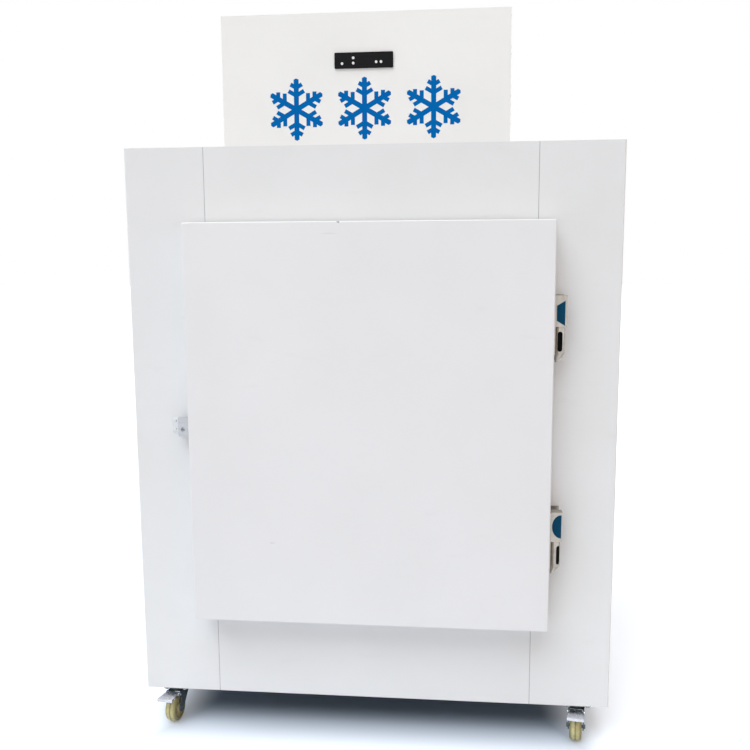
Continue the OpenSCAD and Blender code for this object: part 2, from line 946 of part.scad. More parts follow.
// Sheet duct between coil and fan, with the fan's orifice
module fan_shroud() {
  w = condenser_w;
  h = condenser_h;
  color(zinc)
    difference() {
      translate([condenser_x - w / 2, shroud_y, unit_z])
        cube([w, shroud_d, h]);
      translate([condenser_x - w / 2 + sheet_t, shroud_y + sheet_t, unit_z + sheet_t])
        cube([w - 2 * sheet_t, shroud_d, h - 2 * sheet_t]);
      y_rod(condenser_x, shroud_y - 1, condenser_z, condenser_ring_r, sheet_t + 2);
    }
}

// Fan motor on a post that stands on the unit base
module condenser_motor() {
  post_y = motor_y - 26;
  difference() {
    union() {
      color(black)
        y_rod(condenser_x, motor_y - motor_l, condenser_z, motor_r, motor_l);
      color(zinc) {
        translate([condenser_x - post_w / 2, post_y - post_t / 2, unit_z])
          cube([post_w, post_t, condenser_z - unit_z]);
        translate([condenser_x - post_foot_w / 2, post_y - post_foot_d / 2, unit_z])
          cube([post_foot_w, post_foot_d, post_t - 1]);
      }
    }
    y_rod(condenser_x, motor_y - 24, condenser_z, shaft_r + run_gap, 26);
  }
}

module condenser_fan() {
  color("#4a4d52")
    translate([condenser_x, condenser_fan_y, condenser_z])
      rotate([90, 0, 0])
        fan_wheel(condenser_fan_r, fan_depth, 5, condenser_fan_y - fan_depth / 2 - motor_y + 20, shaft_r);
}

// Suction and liquid lines: from the unit, round its right side, and down through the roof
module refrigerant_lines() {
  coil_top_z = room_roof_z - evap_sheet;
  port_x = condenser_x + condenser_w / 2;
  liquid_z = unit_z + line_rise;
  color(copper) {
    tube_run([
      [compressor_x + compressor_r + stub_l, compressor_y, stub_z],
      [line_x, compressor_y, stub_z],
      [line_x, line_y, stub_z],
      [line_x, line_y, coil_top_z]
    ], suction_r);
    tube_run([
      [port_x, condenser_y, liquid_z],
      [line_x - line_step, condenser_y, liquid_z],
      [line_x - line_step, line_y, liquid_z],
      [line_x - line_step, line_y, coil_top_z]
    ], liquid_r);
  }
}

// Control box with a lid, standing on the unit base behind the header panel
module electrical_box() {
  color("#6d7176")
    translate([box_x, box_y, unit_z]) {
      linear_extrude(box_h)
        round_rect(box_w, box_d, 5);
      translate([0, 0, box_h])
        linear_extrude(4)
          round_rect(box_w + 4, box_d + 4, 6);
    }
}

// Cable gland: nut inside, hexagon and dome outside, with its blind cable bore
module power_gland() {
  color(black)
    difference() {
      union() {
        y_rod(gland_x, hood_rear_y - sheet_t - 6, gland_z, 8, sheet_t + 12);
        translate([gland_x, hood_rear_y + 8, gland_z])
          rotate([90, 0, 0])
            cylinder(r = gland_r, h = 8, $fn = 6);
        translate([gland_x, hood_rear_y - sheet_t, gland_z])
          rotate([90, 0, 0])
            cylinder(r = gland_r, h = 5, $fn = 6);
        y_rod(gland_x, hood_rear_y + 8, gland_z, 10, 9);
      }
      y_rod(gland_x, hood_rear_y - 40, gland_z, cable_r, 80);
    }
}

// ---- Controller ----

module controller_body() {
  color(black)
    difference() {
      union() {
        face_plate(controller_x, front_y - bezel_t, controller_z, bezel_w, bezel_h, bezel_t, 2.5);
        face_plate(controller_x, front_y - 0.5, controller_z, bezel_w - 2 * body_margin,
                   bezel_h - 2 * body_margin, controller_d, 1);
      }
      face_plate(controller_x + window_x, front_y - bezel_t - 1, controller_z, window_w, window_h,
                 window_t + 1, 1);
      for (at = [key_left_at, key_up_at, key_down_at, key_right_inner_at, key_right_outer_at])
        y_rod(controller_x + at[0], front_y - bezel_t - 1, controller_z + at[1], key_r + key_gap,
              key_l + key_travel + 2);
    }
}

module display_window() {
  color("#26282c")
    face_plate(controller_x + window_x, front_y - bezel_t, controller_z, window_w, window_h, window_t, 1);
}

module key_cap(at) {
  color("#f2f3f4")
    y_rod(controller_x + at[0], front_y - bezel_t - key_out, controller_z + at[1], key_r, key_l);
}

module key_left() {
  key_cap(key_left_at);
}

module key_up() {
  key_cap(key_up_at);
}

module key_down() {
  key_cap(key_down_at);
}

module key_right_inner() {
  key_cap(key_right_inner_at);
}

module key_right_outer() {
  key_cap(key_right_outer_at);
}

// ---- Hinges, drawn with the pin on the Z axis and the hinge's foot at Z = 0 ----

module at_hinge(z) {
  translate([hinge_x, hinge_y, z])
    children();
}

// Slot with round ends in the front of the barrel
module barrel_slot() {
  r = slot_w / 2;
  block([-r, -barrel_r - 1, slot_z + r], [r, slot_back, slot_top - r]);
  for (z = [slot_z + r, slot_top - r])
    y_rod(0, -barrel_r - 1, z, r, barrel_r + 1 + slot_back);
}

// Cabinet half: face plate, web, slotted barrel and the tail that tapers towards the door
module hinge_base(slot_turn) {
  color(zinc)
    difference() {
      union() {
        translate([-web_half, hinge_reach - hinge_plate, 0])
          cube([web_half + base_right, hinge_plate, hinge_h]);
        translate([-web_half, 0, barrel_z])
          cube([2 * web_half, hinge_reach - 1, barrel_top - barrel_z]);
        translate([0, 0, barrel_z])
          cylinder(r = barrel_r, h = barrel_top - barrel_z);
        hull() {
          translate([0, 0, barrel_z])
            cylinder(r = barrel_r, h = 0.5, $fn = 32);
          translate([-barrel_r * 0.62, 0, 0])
            cylinder(r = barrel_r / 4, h = 0.5, $fn = 32);
        }
      }
      translate([0, 0, pin_z])
        cylinder(r = pin_r + run_gap, h = hinge_h);
      rotate(slot_turn)
        barrel_slot();
    }
}

// Door half: leaf on the door's edge and the cover block that turns on the pin
module hinge_arm() {
  color("#c8ccd1")
    difference() {
      union() {
        translate([-hinge_off, -leaf_half, barrel_z])
          cube([leaf_t, 2 * leaf_half, hinge_h - barrel_z]);
        translate([(cover_right - hinge_off) / 2, (cover_back - cover_front) / 2, arm_z])
          linear_extrude(hinge_h - arm_z)
            round_rect(cover_right + hinge_off, cover_front + cover_back, cover_r);
      }
      translate([0, 0, arm_z - 1])
        cylinder(r = pin_r + run_gap, h = pin_top + 1 - arm_z + 0.5);
    }
}

module hinge_pin() {
  color("#d5d8dc")
    translate([0, 0, pin_z])
      cylinder(r = pin_r, h = pin_top - pin_z);
}

module upper_hinge_base() {
  at_hinge(hinge_top_z)
    hinge_base(upper_slot_turn);
}

module lower_hinge_base() {
  at_hinge(hinge_foot_z)
    hinge_base(lower_slot_turn);
}

module upper_hinge_arm() {
  at_hinge(hinge_top_z)
    hinge_arm();
}

module lower_hinge_arm() {
  at_hinge(hinge_foot_z)
    hinge_arm();
}

module hinge_pins() {
  for (z = [hinge_foot_z, hinge_top_z])
    at_hinge(z)
      hinge_pin();
}

// ---- Door ----

module door_skin() {
  z = door_z + door_h / 2;
  color(white)
    difference() {
      face_plate(0, door_front_y, z, door_w, door_h, door_t, door_r);
      face_plate(0, door_front_y + pan_t, z, door_w - 2 * pan_t, door_h - 2 * pan_t, door_t,
                 door_r - pan_t);
    }
}

module door_core() {
  z = door_z + door_h / 2;
  color(foam)
    face_plate(0, door_front_y + pan_t, z, door_w - 2 * pan_t, door_h - 2 * pan_t,
               door_t - pan_t - liner_lip, door_r - pan_t);
}

// Inner liner: flat edge that carries the seal, and a raised panel with sloping sides
module door_liner() {
  z = door_z + door_h / 2;
  y = door_back_y - liner_lip;
  color(liner_white) {
    face_plate(0, y, z, door_w - 2 * pan_t, door_h - 2 * pan_t, liner_lip, door_r - pan_t);
    hull() {
      block([-plug_x, door_back_y - 1, plug_z], [plug_x, door_back_y, plug_top_z]);
      block([-plug_x + plug_h, door_back_y, plug_z + plug_h],
            [plug_x - plug_h, door_back_y + plug_h, plug_top_z - plug_h]);
    }
  }
}

// Magnetic seal: a flat foot and a narrower bulb, run round as a closed frame
module door_seal() {
  z = door_z + door_h / 2;
  bulb_in = seal_inset + (seal_w - seal_bulb_w) / 2;
  color("#8e9499") {
    seal_frame(z, seal_inset, seal_w, door_back_y, seal_foot);
    seal_frame(z, bulb_in, seal_bulb_w, door_back_y + seal_foot, seal_gap - seal_foot - soft_gap);
  }
}

module seal_frame(z, inset, w, y, t) {
  difference() {
    face_plate(0, y, z, door_w - 2 * inset, door_h - 2 * inset, t, door_r);
    face_plate(0, y - 1, z, door_w - 2 * inset - 2 * w, door_h - 2 * inset - 2 * w, t + 2, 2);
  }
}

// Angle plate on the door's free edge; its wing carries the padlock eye
module door_hasp() {
  color("#bfc2c6")
    difference() {
      union() {
        block([-door_x - hasp_t, hasp_y - hasp_leg, hasp_z - hasp_h / 2],
              [-door_x, hasp_y, hasp_z + hasp_h / 2]);
        face_plate(-door_x - hasp_wing_w / 2, hasp_y - hasp_t, hasp_z, hasp_wing_w, hasp_h, hasp_t, 4);
      }
      y_rod(eye_x, hasp_y - hasp_t - 1, hasp_z - eye_drop, eye_r, hasp_t + 2);
    }
}

// Bent bracket on the cabinet: foot, stand-off leg and the tab behind the hasp's wing
module hasp_staple() {
  tab_y = hasp_y + hasp_gap;
  low_z = hasp_z - hasp_h / 2 + 4;
  high_z = hasp_z + hasp_h / 2 - 10;
  color(zinc)
    difference() {
      union() {
        block([staple_x - staple_foot, front_y - hasp_t, low_z], [staple_x + hasp_t, front_y, high_z]);
        block([staple_x, tab_y, low_z], [staple_x + hasp_t, front_y, high_z]);
        block([staple_x, tab_y, low_z], [staple_x + staple_tab, tab_y + hasp_t, high_z]);
      }
      y_rod(eye_x, tab_y - 1, hasp_z - eye_drop, eye_r, hasp_t + 2);
    }
}

// ---- Casters, drawn with the swivel axis on Z, the floor at Z = 0 and the wheel towards -Y ----

module at_caster(x, y, turn) {
  translate([x * caster_x, y, 0])
    rotate(turn)
      children();
}

// Top plate with slotted holes, upper race cup, king bolt and its nut
module caster_plate() {
  difference() {
    union() {
      translate([0, 0, caster_h - plate_t])
        linear_extrude(plate_t)
          round_rect(plate_w, plate_d, 6);
      translate([0, 0, race_z])
        cylinder(r = race_r, h = caster_h - plate_t - race_z);
      translate([0, 0, crown_z - 0.3 - nut_h])
        cylinder(r = king_r, h = race_z - crown_z + nut_h + 1);
      translate([0, 0, crown_z - 0.3 - nut_h])
        cylinder(r = king_r * 1.7, h = nut_h, $fn = 6);
    }
    for (x = [-1, 1], y = [-1, 1])
      translate([x * (plate_w / 2 - 9), y * (plate_d / 2 - 9), caster_h - plate_t - 1])
        slot_hole(plate_slot, plate_hole_r, plate_t + 2);
  }
}

module caster_plates() {
  color(zinc)
    for (x = [-1, 1], y = [caster_front_y, caster_rear_y])
      at_caster(x, y, 0)
        caster_plate();
}

// Side profile of a fork leg in (Y, Z), tapering from the crown to the axle
module leg_profile(braked) {
  hull() {
    translate([-trail, wheel_r])
      circle(axle_boss_r, $fn = 32);
    translate([crown_front, crown_z])
      square([crown_l, crown_top - crown_z - 3]);
  }
  if (braked)
    hull() {
      translate([pivot_y, pivot_z])
        circle(ear_r, $fn = 32);
      translate([crown_front, crown_z - 14])
        square([16, 14]);
    }
}

module fork(braked) {
  half = fork_gap / 2;
  color("#9da2a7")
    difference() {
      union() {
        for (x = [-half - fork_t, half])
          translate([x, 0, 0])
            rotate([90, 0, 90])
              linear_extrude(fork_t)
                leg_profile(braked);
        translate([-half - fork_t, crown_front, crown_z])
          cube([fork_gap + 2 * fork_t, crown_l, fork_t + 0.5]);
        translate([0, 0, crown_z])
          cylinder(r = race_r - 3, h = crown_top - crown_z);
        translate([-half - fork_t - axle_end, -trail, wheel_r])
          rotate([0, 90, 0])
            cylinder(r = axle_r, h = fork_gap + 2 * fork_t + 2 * axle_end);
        for (x = [-half - fork_t - axle_end, half + fork_t])
          translate([x, -trail, wheel_r])
            rotate([0, 90, 0])
              cylinder(r = axle_r * 1.6, h = axle_end, $fn = 6);
      }
      translate([0, 0, crown_z - 1])
        cylinder(r = king_r + run_gap, h = crown_top - crown_z + 2);
      if (braked)
        translate([-half - fork_t - 1, pivot_y, pivot_z])
          rotate([0, 90, 0])
            cylinder(r = pivot_r + run_gap, h = fork_gap + 2 * fork_t + 2);
    }
}

// Wheel on its side axis: round-shouldered tread with a centre groove, dished web and hub
module wheel() {
  color("#c9b45a")
    translate([0, -trail, wheel_r])
      rotate([0, 90, 0])
        rotate_extrude($fn = 96)
          difference() {
            union() {
              translate([wheel_r - tyre_t / 2 - 0.5, 0])
                round_rect(tyre_t + 1, wheel_w, tyre_edge_r);
              translate([axle_r + run_gap, -wheel_w * 0.27])
                square([wheel_r - tyre_t - axle_r, wheel_w * 0.54]);
              translate([axle_r + run_gap, -hub_w / 2])
                square([hub_r - axle_r, hub_w]);
            }
            translate([wheel_r + 0.4 * groove_r, 0])
              circle(groove_r, $fn = 24);
          }
}

// Toe pedal: pivot pin, sleeve, flared plate that slopes forward, turned-down lip and brake shoe
module brake_pedal() {
  pin_half = fork_gap / 2 + fork_t + 2;
  low = pivot_r + 0.8;
  top = low + pedal_t;
  lip_z = low - pedal_lip;
  color("#d3d6da")
    translate([0, pivot_y, pivot_z]) {
      translate([-pin_half, 0, 0])
        rotate([0, 90, 0])
          cylinder(r = pivot_r, h = 2 * pin_half);
      translate([-pedal_w / 2 - 1, 0, 0])
        rotate([0, 90, 0])
          cylinder(r = pivot_r + 2.2, h = pedal_w + 2);
      rotate([-pedal_rise, 0, 0])
        intersection() {
          translate([0, 0, -20])
            linear_extrude(40)
              polygon([
                [-pedal_w / 2, 2], [-pedal_w / 2, -9], [-pedal_near / 2, -14],
                [-pedal_wide / 2, -pedal_reach], [pedal_wide / 2, -pedal_reach],
                [pedal_near / 2, -14], [pedal_w / 2, -9], [pedal_w / 2, 2]
              ]);
          rotate([90, 0, 90])
            linear_extrude(2 * pedal_wide, center = true)
              polygon([
                [3, low], [3, top], [-pedal_reach - 1, top], [-pedal_reach - 1, lip_z],
                [-pedal_reach + pedal_t, lip_z], [-pedal_reach + pedal_t, low]
              ]);
        }
      rotate([90, 0, 90])
        linear_extrude(shoe_w, center = true)
          polygon([[-7.3, -6.9], [-14.9, -9.3], [-17, low + 1.8], [-8, low + 1.8]]);
    }
}

module fork_front_left() {
  at_caster(-1, caster_front_y, turn_front_left)
    fork(true);
}

module fork_front_right() {
  at_caster(1, caster_front_y, turn_front_right)
    fork(true);
}

module fork_rear_left() {
  at_caster(-1, caster_rear_y, turn_rear_left)
    fork(false);
}

module fork_rear_right() {
  at_caster(1, caster_rear_y, turn_rear_right)
    fork(false);
}

module wheel_front_left() {
  at_caster(-1, caster_front_y, turn_front_left)
    wheel();
}

module wheel_front_right() {
  at_caster(1, caster_front_y, turn_front_right)
    wheel();
}

module wheel_rear_left() {
  at_caster(-1, caster_rear_y, turn_rear_left)
    wheel();
}

module wheel_rear_right() {
  at_caster(1, caster_rear_y, turn_rear_right)
    wheel();
}

module brake_pedal_left() {
  at_caster(-1, caster_front_y, turn_front_left)
    brake_pedal();
}

module brake_pedal_right() {
  at_caster(1, caster_front_y, turn_front_right)
    brake_pedal();
}

insulation();
left_skin();
right_skin();
rear_skin();
roof_skin();
base_pan();
front_top_skin();
front_bottom_skin();
inner_liner();
opening_trim();
floor_rack();
evaporator_housing();
evaporator_coil();
evaporator_motors();
evaporator_guards();
evaporator_fan_left();
evaporator_fan_right();
drain_pan();
drain_tube();
header_panel();
header_hood();
rear_guard();
unit_base();
compressor();
condenser_coil();
fan_shroud();
condenser_motor();
condenser_fan();
refrigerant_lines();
electrical_box();
power_gland();
controller_body();
display_window();
key_left();
key_up();
key_down();
key_right_inner();
key_right_outer();
upper_hinge_base();
lower_hinge_base();
hinge_pins();
upper_hinge_arm();
lower_hinge_arm();
door_skin();
door_core();
door_liner();
door_seal();
door_hasp();
hasp_staple();
caster_plates();
fork_front_left();
fork_front_right();
fork_rear_left();
fork_rear_right();
wheel_front_left();
wheel_front_right();
wheel_rear_left();
wheel_rear_right();
brake_pedal_left();
brake_pedal_right();
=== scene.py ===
"""Looks of the freezer for bagged goods, built in Blender 4.5 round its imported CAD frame.

Sizes are in millimetres in the row frame: +Z is up, the door faces -Y and the floor is Z = 0.
Each class below dresses one sub-assembly and adds the small pieces that the frame leaves out.
"""

import logging
import math
from collections.abc import Iterable, Sequence
from dataclasses import dataclass
from enum import Enum
from functools import cache

import bmesh
import bpy
from mathutils import Matrix, Vector


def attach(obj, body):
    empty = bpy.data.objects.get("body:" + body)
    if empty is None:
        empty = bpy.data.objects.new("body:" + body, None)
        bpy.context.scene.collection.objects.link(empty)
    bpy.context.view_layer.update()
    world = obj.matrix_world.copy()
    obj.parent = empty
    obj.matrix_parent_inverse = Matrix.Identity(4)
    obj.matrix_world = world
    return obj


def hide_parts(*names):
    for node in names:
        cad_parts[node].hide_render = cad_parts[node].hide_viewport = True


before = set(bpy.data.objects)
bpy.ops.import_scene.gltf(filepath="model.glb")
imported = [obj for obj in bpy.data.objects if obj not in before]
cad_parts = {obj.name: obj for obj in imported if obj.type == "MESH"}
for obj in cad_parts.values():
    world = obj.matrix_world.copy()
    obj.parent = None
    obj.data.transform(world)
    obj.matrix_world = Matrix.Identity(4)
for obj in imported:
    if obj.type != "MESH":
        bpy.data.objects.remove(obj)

Point = tuple[float, float]
Point3 = tuple[float, float, float]
Socket = bpy.types.NodeSocket
Tree = bpy.types.NodeTree

MM = 0.001
# Height of the cabinet's bottom over the floor, which is the height of the casters
BASE_Z = 100.0
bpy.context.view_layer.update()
log = logging.getLogger("freezer")


# ---- Shader helpers ----


def linear(code: str) -> tuple[float, float, float, float]:
    """Turns an sRGB hex colour into the linear colour that shaders take.

    Args:
        code: The colour as "#rrggbb".

    Returns:
        Red, green, blue and alpha.
    """
    parts = [int(code[i : i + 2], 16) / 255 for i in (1, 3, 5)]
    curve = [c / 12.92 if c <= 0.04045 else ((c + 0.055) / 1.055) ** 2.4 for c in parts]
    return (curve[0], curve[1], curve[2], 1.0)


def add(tree: Tree, kind: str, inputs: dict, **settings: object) -> bpy.types.Node:
    """Adds a shader node with its settings, values and links.

    Args:
        tree: The node tree of a material or world.
        kind: The node's type, without the words ShaderNode.
        inputs: Values by socket name or number; a socket is linked, a hex colour is converted.
        settings: The node's own properties.

    Returns:
        The new node.
    """
    node = tree.nodes.new("ShaderNode" + kind)
    for key, value in settings.items():
        setattr(node, key, value)
    for key, value in inputs.items():
        if isinstance(value, bpy.types.NodeSocket):
            tree.links.new(value, node.inputs[key])
        elif value is not None:
            node.inputs[key].default_value = linear(value) if isinstance(value, str) else value
    return node


def mottle(tree: Tree, at: Socket, size: float, low: float, high: float,
           stretch: Point3 = (1.0, 1.0, 1.0), span: Point = (0.35, 0.65)) -> Socket:
    """Cloudy variation of one real size.

    Args:
        tree: The node tree.
        at: Coordinates in metres.
        size: Size of one cloud, in millimetres.
        low: The value in the thin places.
        high: The value in the thick places.
        stretch: Frequency along each axis, so 0.1 draws a cloud out ten times.
        span: The part of the noise that runs from low to high.

    Returns:
        The value.
    """
    scale = [s / (size * MM) for s in stretch]
    spot = add(tree, "Mapping", {"Vector": at, "Scale": scale})
    cloud = add(tree, "TexNoise", {"Vector": spot.outputs[0], "Scale": 1.0, "Detail": 3.0})
    return add(tree, "MapRange", {0: cloud.outputs[0], 1: span[0], 2: span[1], 3: low, 4: high}).outputs[0]


@dataclass(frozen=True)
class Mark:
    """A small blemish in the paint.

    Attributes:
        centre: Its place in the row frame, in millimetres.
        half: Half its width, depth and height, in millimetres.
        colour: Its colour.
        cover: How much of the paint it hides, from 0 to 1.
    """

    centre: Point3
    half: Point3
    colour: str
    cover: float


class Relief(Enum):
    """Kind of fine relief on a surface."""

    GRAIN = "grain"
    CELLS = "cells"


@dataclass(frozen=True)
class Finish:
    """Base of all finishes: a colour with clouds of a second one, patches of other gloss, a fine relief.

    Attributes:
        name: Name of the material.
        colour: Its main colour, sRGB hex.
        roughness: Mean roughness.
        metallic: 1 for bare metal.
        ior: Index of refraction; a metal keeps the default.
        coat: Weight of a clear coat.
        shine: Strength of the mirror-like part; 0.5 is a plain dielectric.
        shade: Colour of the clouds.
        cloud: Width of one cloud, in millimetres.
        cover: How much of their colour the clouds show, from 0 to 1.
        patch: Width of one patch of other gloss, in millimetres; 0 is the width of a cloud.
        spread: How far the roughness goes below and above its mean.
        pattern: Kind of fine relief.
        grain: Width of one grain or cell of the relief, in millimetres.
        deep: Depth of the relief, in millimetres.
        bite: Strength of the relief, from 0 to 1.
        stretch: Frequency of all patterns along each axis; a small one draws them out.
    """

    name: str
    colour: str
    roughness: float
    metallic: float = 0.0
    ior: float = 1.5
    coat: float = 0.0
    shine: float = 0.5
    shade: str = "#808080"
    cloud: float = 24.0
    cover: float = 0.0
    patch: float = 0.0
    spread: Point = (0.0, 0.0)
    pattern: Relief = Relief.GRAIN
    grain: float = 1.5
    deep: float = 0.03
    bite: float = 0.6
    stretch: Point3 = (1.0, 1.0, 1.0)

    def colours(self, tree: Tree, at: Socket) -> Socket:
        """Base colour with its clouds."""
        cloud = mottle(tree, at, self.cloud, 0.0, self.cover, self.stretch)
        return add(tree, "Mix", {0: cloud, 6: self.colour, 7: self.shade}, data_type="RGBA").outputs[2]

    def gloss(self, tree: Tree, at: Socket) -> Socket | float:
        """Roughness in patches, or one value where it is even."""
        below, above = self.spread
        if not below and not above:
            return self.roughness
        return mottle(tree, at, self.patch or self.cloud, self.roughness - below, self.roughness + above,
                      self.stretch)

    def height(self, tree: Tree, at: Socket) -> Socket:
        """Height of the fine relief."""
        if self.pattern is Relief.CELLS:
            scale = 1 / (self.grain * MM)
            return add(tree, "TexVoronoi", {"Vector": at, "Scale": scale}, feature="SMOOTH_F1").outputs[0]
        return mottle(tree, at, self.grain, 0.0, 1.0, self.stretch)

    def relief(self, tree: Tree, at: Socket) -> Socket:
        """Normal with the fine relief."""
        return add(tree, "Bump", {
            "Height": self.height(tree, at), "Distance": self.deep * MM, "Strength": self.bite}).outputs[0]

    def more(self) -> dict[str, float | str]:
        """Further values of the shader's own sockets."""
        return {}


@cache
def material(finish: Finish) -> bpy.types.Material:
    """Builds a finish once and hands out the same material afterwards.

    Args:
        finish: What the surface is made of.

    Returns:
        The node-based material.
    """
    made = bpy.data.materials.new(finish.name)
    made.use_nodes = True
    tree = made.node_tree
    tree.nodes.clear()
    at = add(tree, "TexCoord", {}).outputs["Object"]
    shader = add(tree, "BsdfPrincipled", {
        "Base Color": finish.colours(tree, at), "Roughness": finish.gloss(tree, at),
        "Normal": finish.relief(tree, at), "Metallic": finish.metallic, "Coat Weight": finish.coat,
        "Specular IOR Level": finish.shine,
        **({} if finish.metallic else {"IOR": finish.ior}), **finish.more(),
    })
    add(tree, "OutputMaterial", {"Surface": shader.outputs[0]})
    made.diffuse_color = linear(finish.colour)
    return made


# ---- Finishes ----


@dataclass(frozen=True)
class PowderCoat(Finish):
    """Baked polyester powder on folded sheet: satin, with orange peel and slow waves in the sheet.

    The peel is 0.03 mm deep and drawn twice as wide as it is, so that it shows.

    Attributes:
        marks: Chips and scuffs at their real places.
    """

    shade: str = "#d6d7d3"
    cloud: float = 300.0
    cover: float = 0.144
    patch: float = 90.0
    spread: Point = (0.05, 0.06)
    grain: float = 10.0
    marks: tuple[Mark, ...] = ()

    def colours(self, tree: Tree, at: Socket) -> Socket:
        """White that yellows a little in clouds, with faint rubbed streaks and the marks."""
        tone = super().colours(tree, at)
        streak = mottle(tree, at, 26, 0.0, 0.05, (0.25, 0.25, 1.0), (0.66, 0.78))
        layers = [(streak, "#b4b6b8")] + [(self.stain(tree, at, mark), mark.colour) for mark in self.marks]
        for cover, colour in layers:
            tone = add(tree, "Mix", {0: cover, 6: tone, 7: colour}, data_type="RGBA").outputs[2]
        return tone

    def stain(self, tree: Tree, at: Socket, mark: Mark) -> Socket:
        """Cover of one mark, with a ragged edge.

        Args:
            tree: The node tree.
            at: Coordinates in metres.
            mark: The mark.

        Returns:
            The cover, from 0 outside the mark.
        """
        centre, half = ([c * MM for c in place] for place in (mark.centre, mark.half))
        spot = add(tree, "VectorMath", {0: at, 1: centre}, operation="SUBTRACT").outputs[0]
        spot = add(tree, "VectorMath", {0: spot, 1: half}, operation="DIVIDE").outputs[0]
        far = add(tree, "VectorMath", {0: spot}, operation="LENGTH").outputs["Value"]
        ragged = mottle(tree, at, 4, -0.35, 0.35)
        far = add(tree, "Math", {0: far, 1: ragged}, operation="ADD").outputs[0]
        return add(tree, "MapRange", {0: far, 1: 1.0, 2: 0.6, 3: 0.0, 4: mark.cover}).outputs[0]

    def relief(self, tree: Tree, at: Socket) -> Socket:
        """Orange peel on waves 260 mm long."""
        wave = mottle(tree, at, 260, 0.0, 1.0)
        return add(tree, "Bump", {
            "Height": wave, "Distance": 0.9 * MM, "Strength": 0.5,
            "Normal": super().relief(tree, at)}).outputs[0]


@dataclass(frozen=True)
class StuccoSheet(Finish):
    """Prepainted sheet rolled with a stucco pattern, the usual lining of a cold room, veiled by frost."""

    shade: str = "#cdd3d8"
    cloud: float = 140.0
    cover: float = 0.25
    pattern: Relief = Relief.CELLS
    grain: float = 9.0
    deep: float = 0.25
    bite: float = 0.8


@dataclass(frozen=True)
class ZincSheet(Finish):
    """Hot-dip galvanised steel: flat crystals of zinc, each with its own tone and gloss.

    Attributes:
        spangle: Width of one crystal, in millimetres.
    """

    shade: str = "#8d949a"
    cover: float = 0.55
    spread: Point = (0.08, 0.1)
    grain: float = 40.0
    deep: float = 0.1
    bite: float = 0.4
    spangle: float = 14.0

    def crystals(self, tree: Tree, at: Socket, low: float, high: float) -> Socket:
        """One random value from low to high per crystal."""
        cells = add(tree, "TexVoronoi", {"Vector": at, "Scale": 1 / (self.spangle * MM)})
        value = add(tree, "SeparateColor", {0: cells.outputs["Color"]}).outputs[0]
        return add(tree, "MapRange", {0: value, 3: low, 4: high}).outputs[0]

    def colours(self, tree: Tree, at: Socket) -> Socket:
        """Crystals that differ from blue grey to light grey."""
        tone = self.crystals(tree, at, 0.0, self.cover)
        return add(tree, "Mix", {0: tone, 6: self.colour, 7: self.shade}, data_type="RGBA").outputs[2]

    def gloss(self, tree: Tree, at: Socket) -> Socket:
        """Each crystal scatters light its own way."""
        return self.crystals(tree, at, self.roughness - self.spread[0], self.roughness + self.spread[1])


@dataclass(frozen=True)
class PlatedMetal(Finish):
    """Pressed or cast metal with a thin plating: clouded shine, dull in the corners, press marks."""

    shade: str = "#6e7175"
    cloud: float = 18.0
    cover: float = 0.45
    spread: Point = (0.05, 0.1)
    grain: float = 6.0
    deep: float = 0.04
    bite: float = 0.5


@dataclass(frozen=True)
class BrushedMetal(Finish):
    """Metal with fine parallel lines from the belt or the die; the small stretch is their direction."""

    shade: str = "#85898d"
    cloud: float = 1.2
    cover: float = 0.3
    spread: Point = (0.06, 0.08)
    grain: float = 1.2
    deep: float = 0.02
    stretch: Point3 = (1.0, 1.0, 0.02)


@dataclass(frozen=True)
class MouldedPlastic(Finish):
    """Moulded plastic with a grain, drawn coarse enough to show, and lighter where hands polish it."""

    cover: float = 0.07
    patch: float = 12.0
    spread: Point = (0.05, 0.07)


@dataclass(frozen=True)
class CastPolyurethane(Finish):
    """Cast polyurethane tyre: honey coloured tread, olive painted shade on its rounded shoulders, and dirt
    with painted shade in its centre groove.

    Attributes:
        axle: The wheel's middle, in millimetres.
        along: Direction of the axle.
        shoulder: Distances from the middle over which painted shade turns the tread olive, in millimetres.
        groove: Distances from the middle over which the groove's dirt and painted shade thin out, in
            millimetres.
    """

    shade: str = "#b5aa70"
    cloud: float = 9.0
    cover: float = 0.5
    patch: float = 8.0
    spread: Point = (0.1, 0.12)
    grain: float = 3.0
    deep: float = 0.08
    axle: Point3 = (0.0, 0.0, 0.0)
    along: Point3 = (1.0, 0.0, 0.0)
    shoulder: Point = (8.0, 14.0)
    groove: Point = (2.2, 1.4)

    def colours(self, tree: Tree, at: Socket) -> Socket:
        """Honey tread with painted shade towards its shoulders, and dirt with painted shade in its groove."""
        axle = [c * MM for c in self.axle]
        spot = add(tree, "VectorMath", {0: at, 1: axle}, operation="SUBTRACT").outputs[0]
        side = add(tree, "VectorMath", {0: spot, 1: self.along}, operation="DOT_PRODUCT").outputs["Value"]
        side = add(tree, "Math", {0: side}, operation="ABSOLUTE").outputs[0]
        tone = super().colours(tree, at)
        # Painted shade on the shoulders; dirt and painted shade in the groove
        for (start, end), cover, colour in ((self.shoulder, 0.8, "#6f6c3a"), (self.groove, 0.5, "#5d5a33")):
            edge = add(tree, "MapRange", {0: side, 1: start * MM, 2: end * MM, 3: 0.0, 4: cover}).outputs[0]
            tone = add(tree, "Mix", {0: edge, 6: tone, 7: colour}, data_type="RGBA").outputs[2]
        return tone

    def more(self) -> dict[str, float | str]:
        """Light goes a little way into the tyre."""
        return {"Subsurface Weight": 0.12, "Subsurface Scale": 0.004}


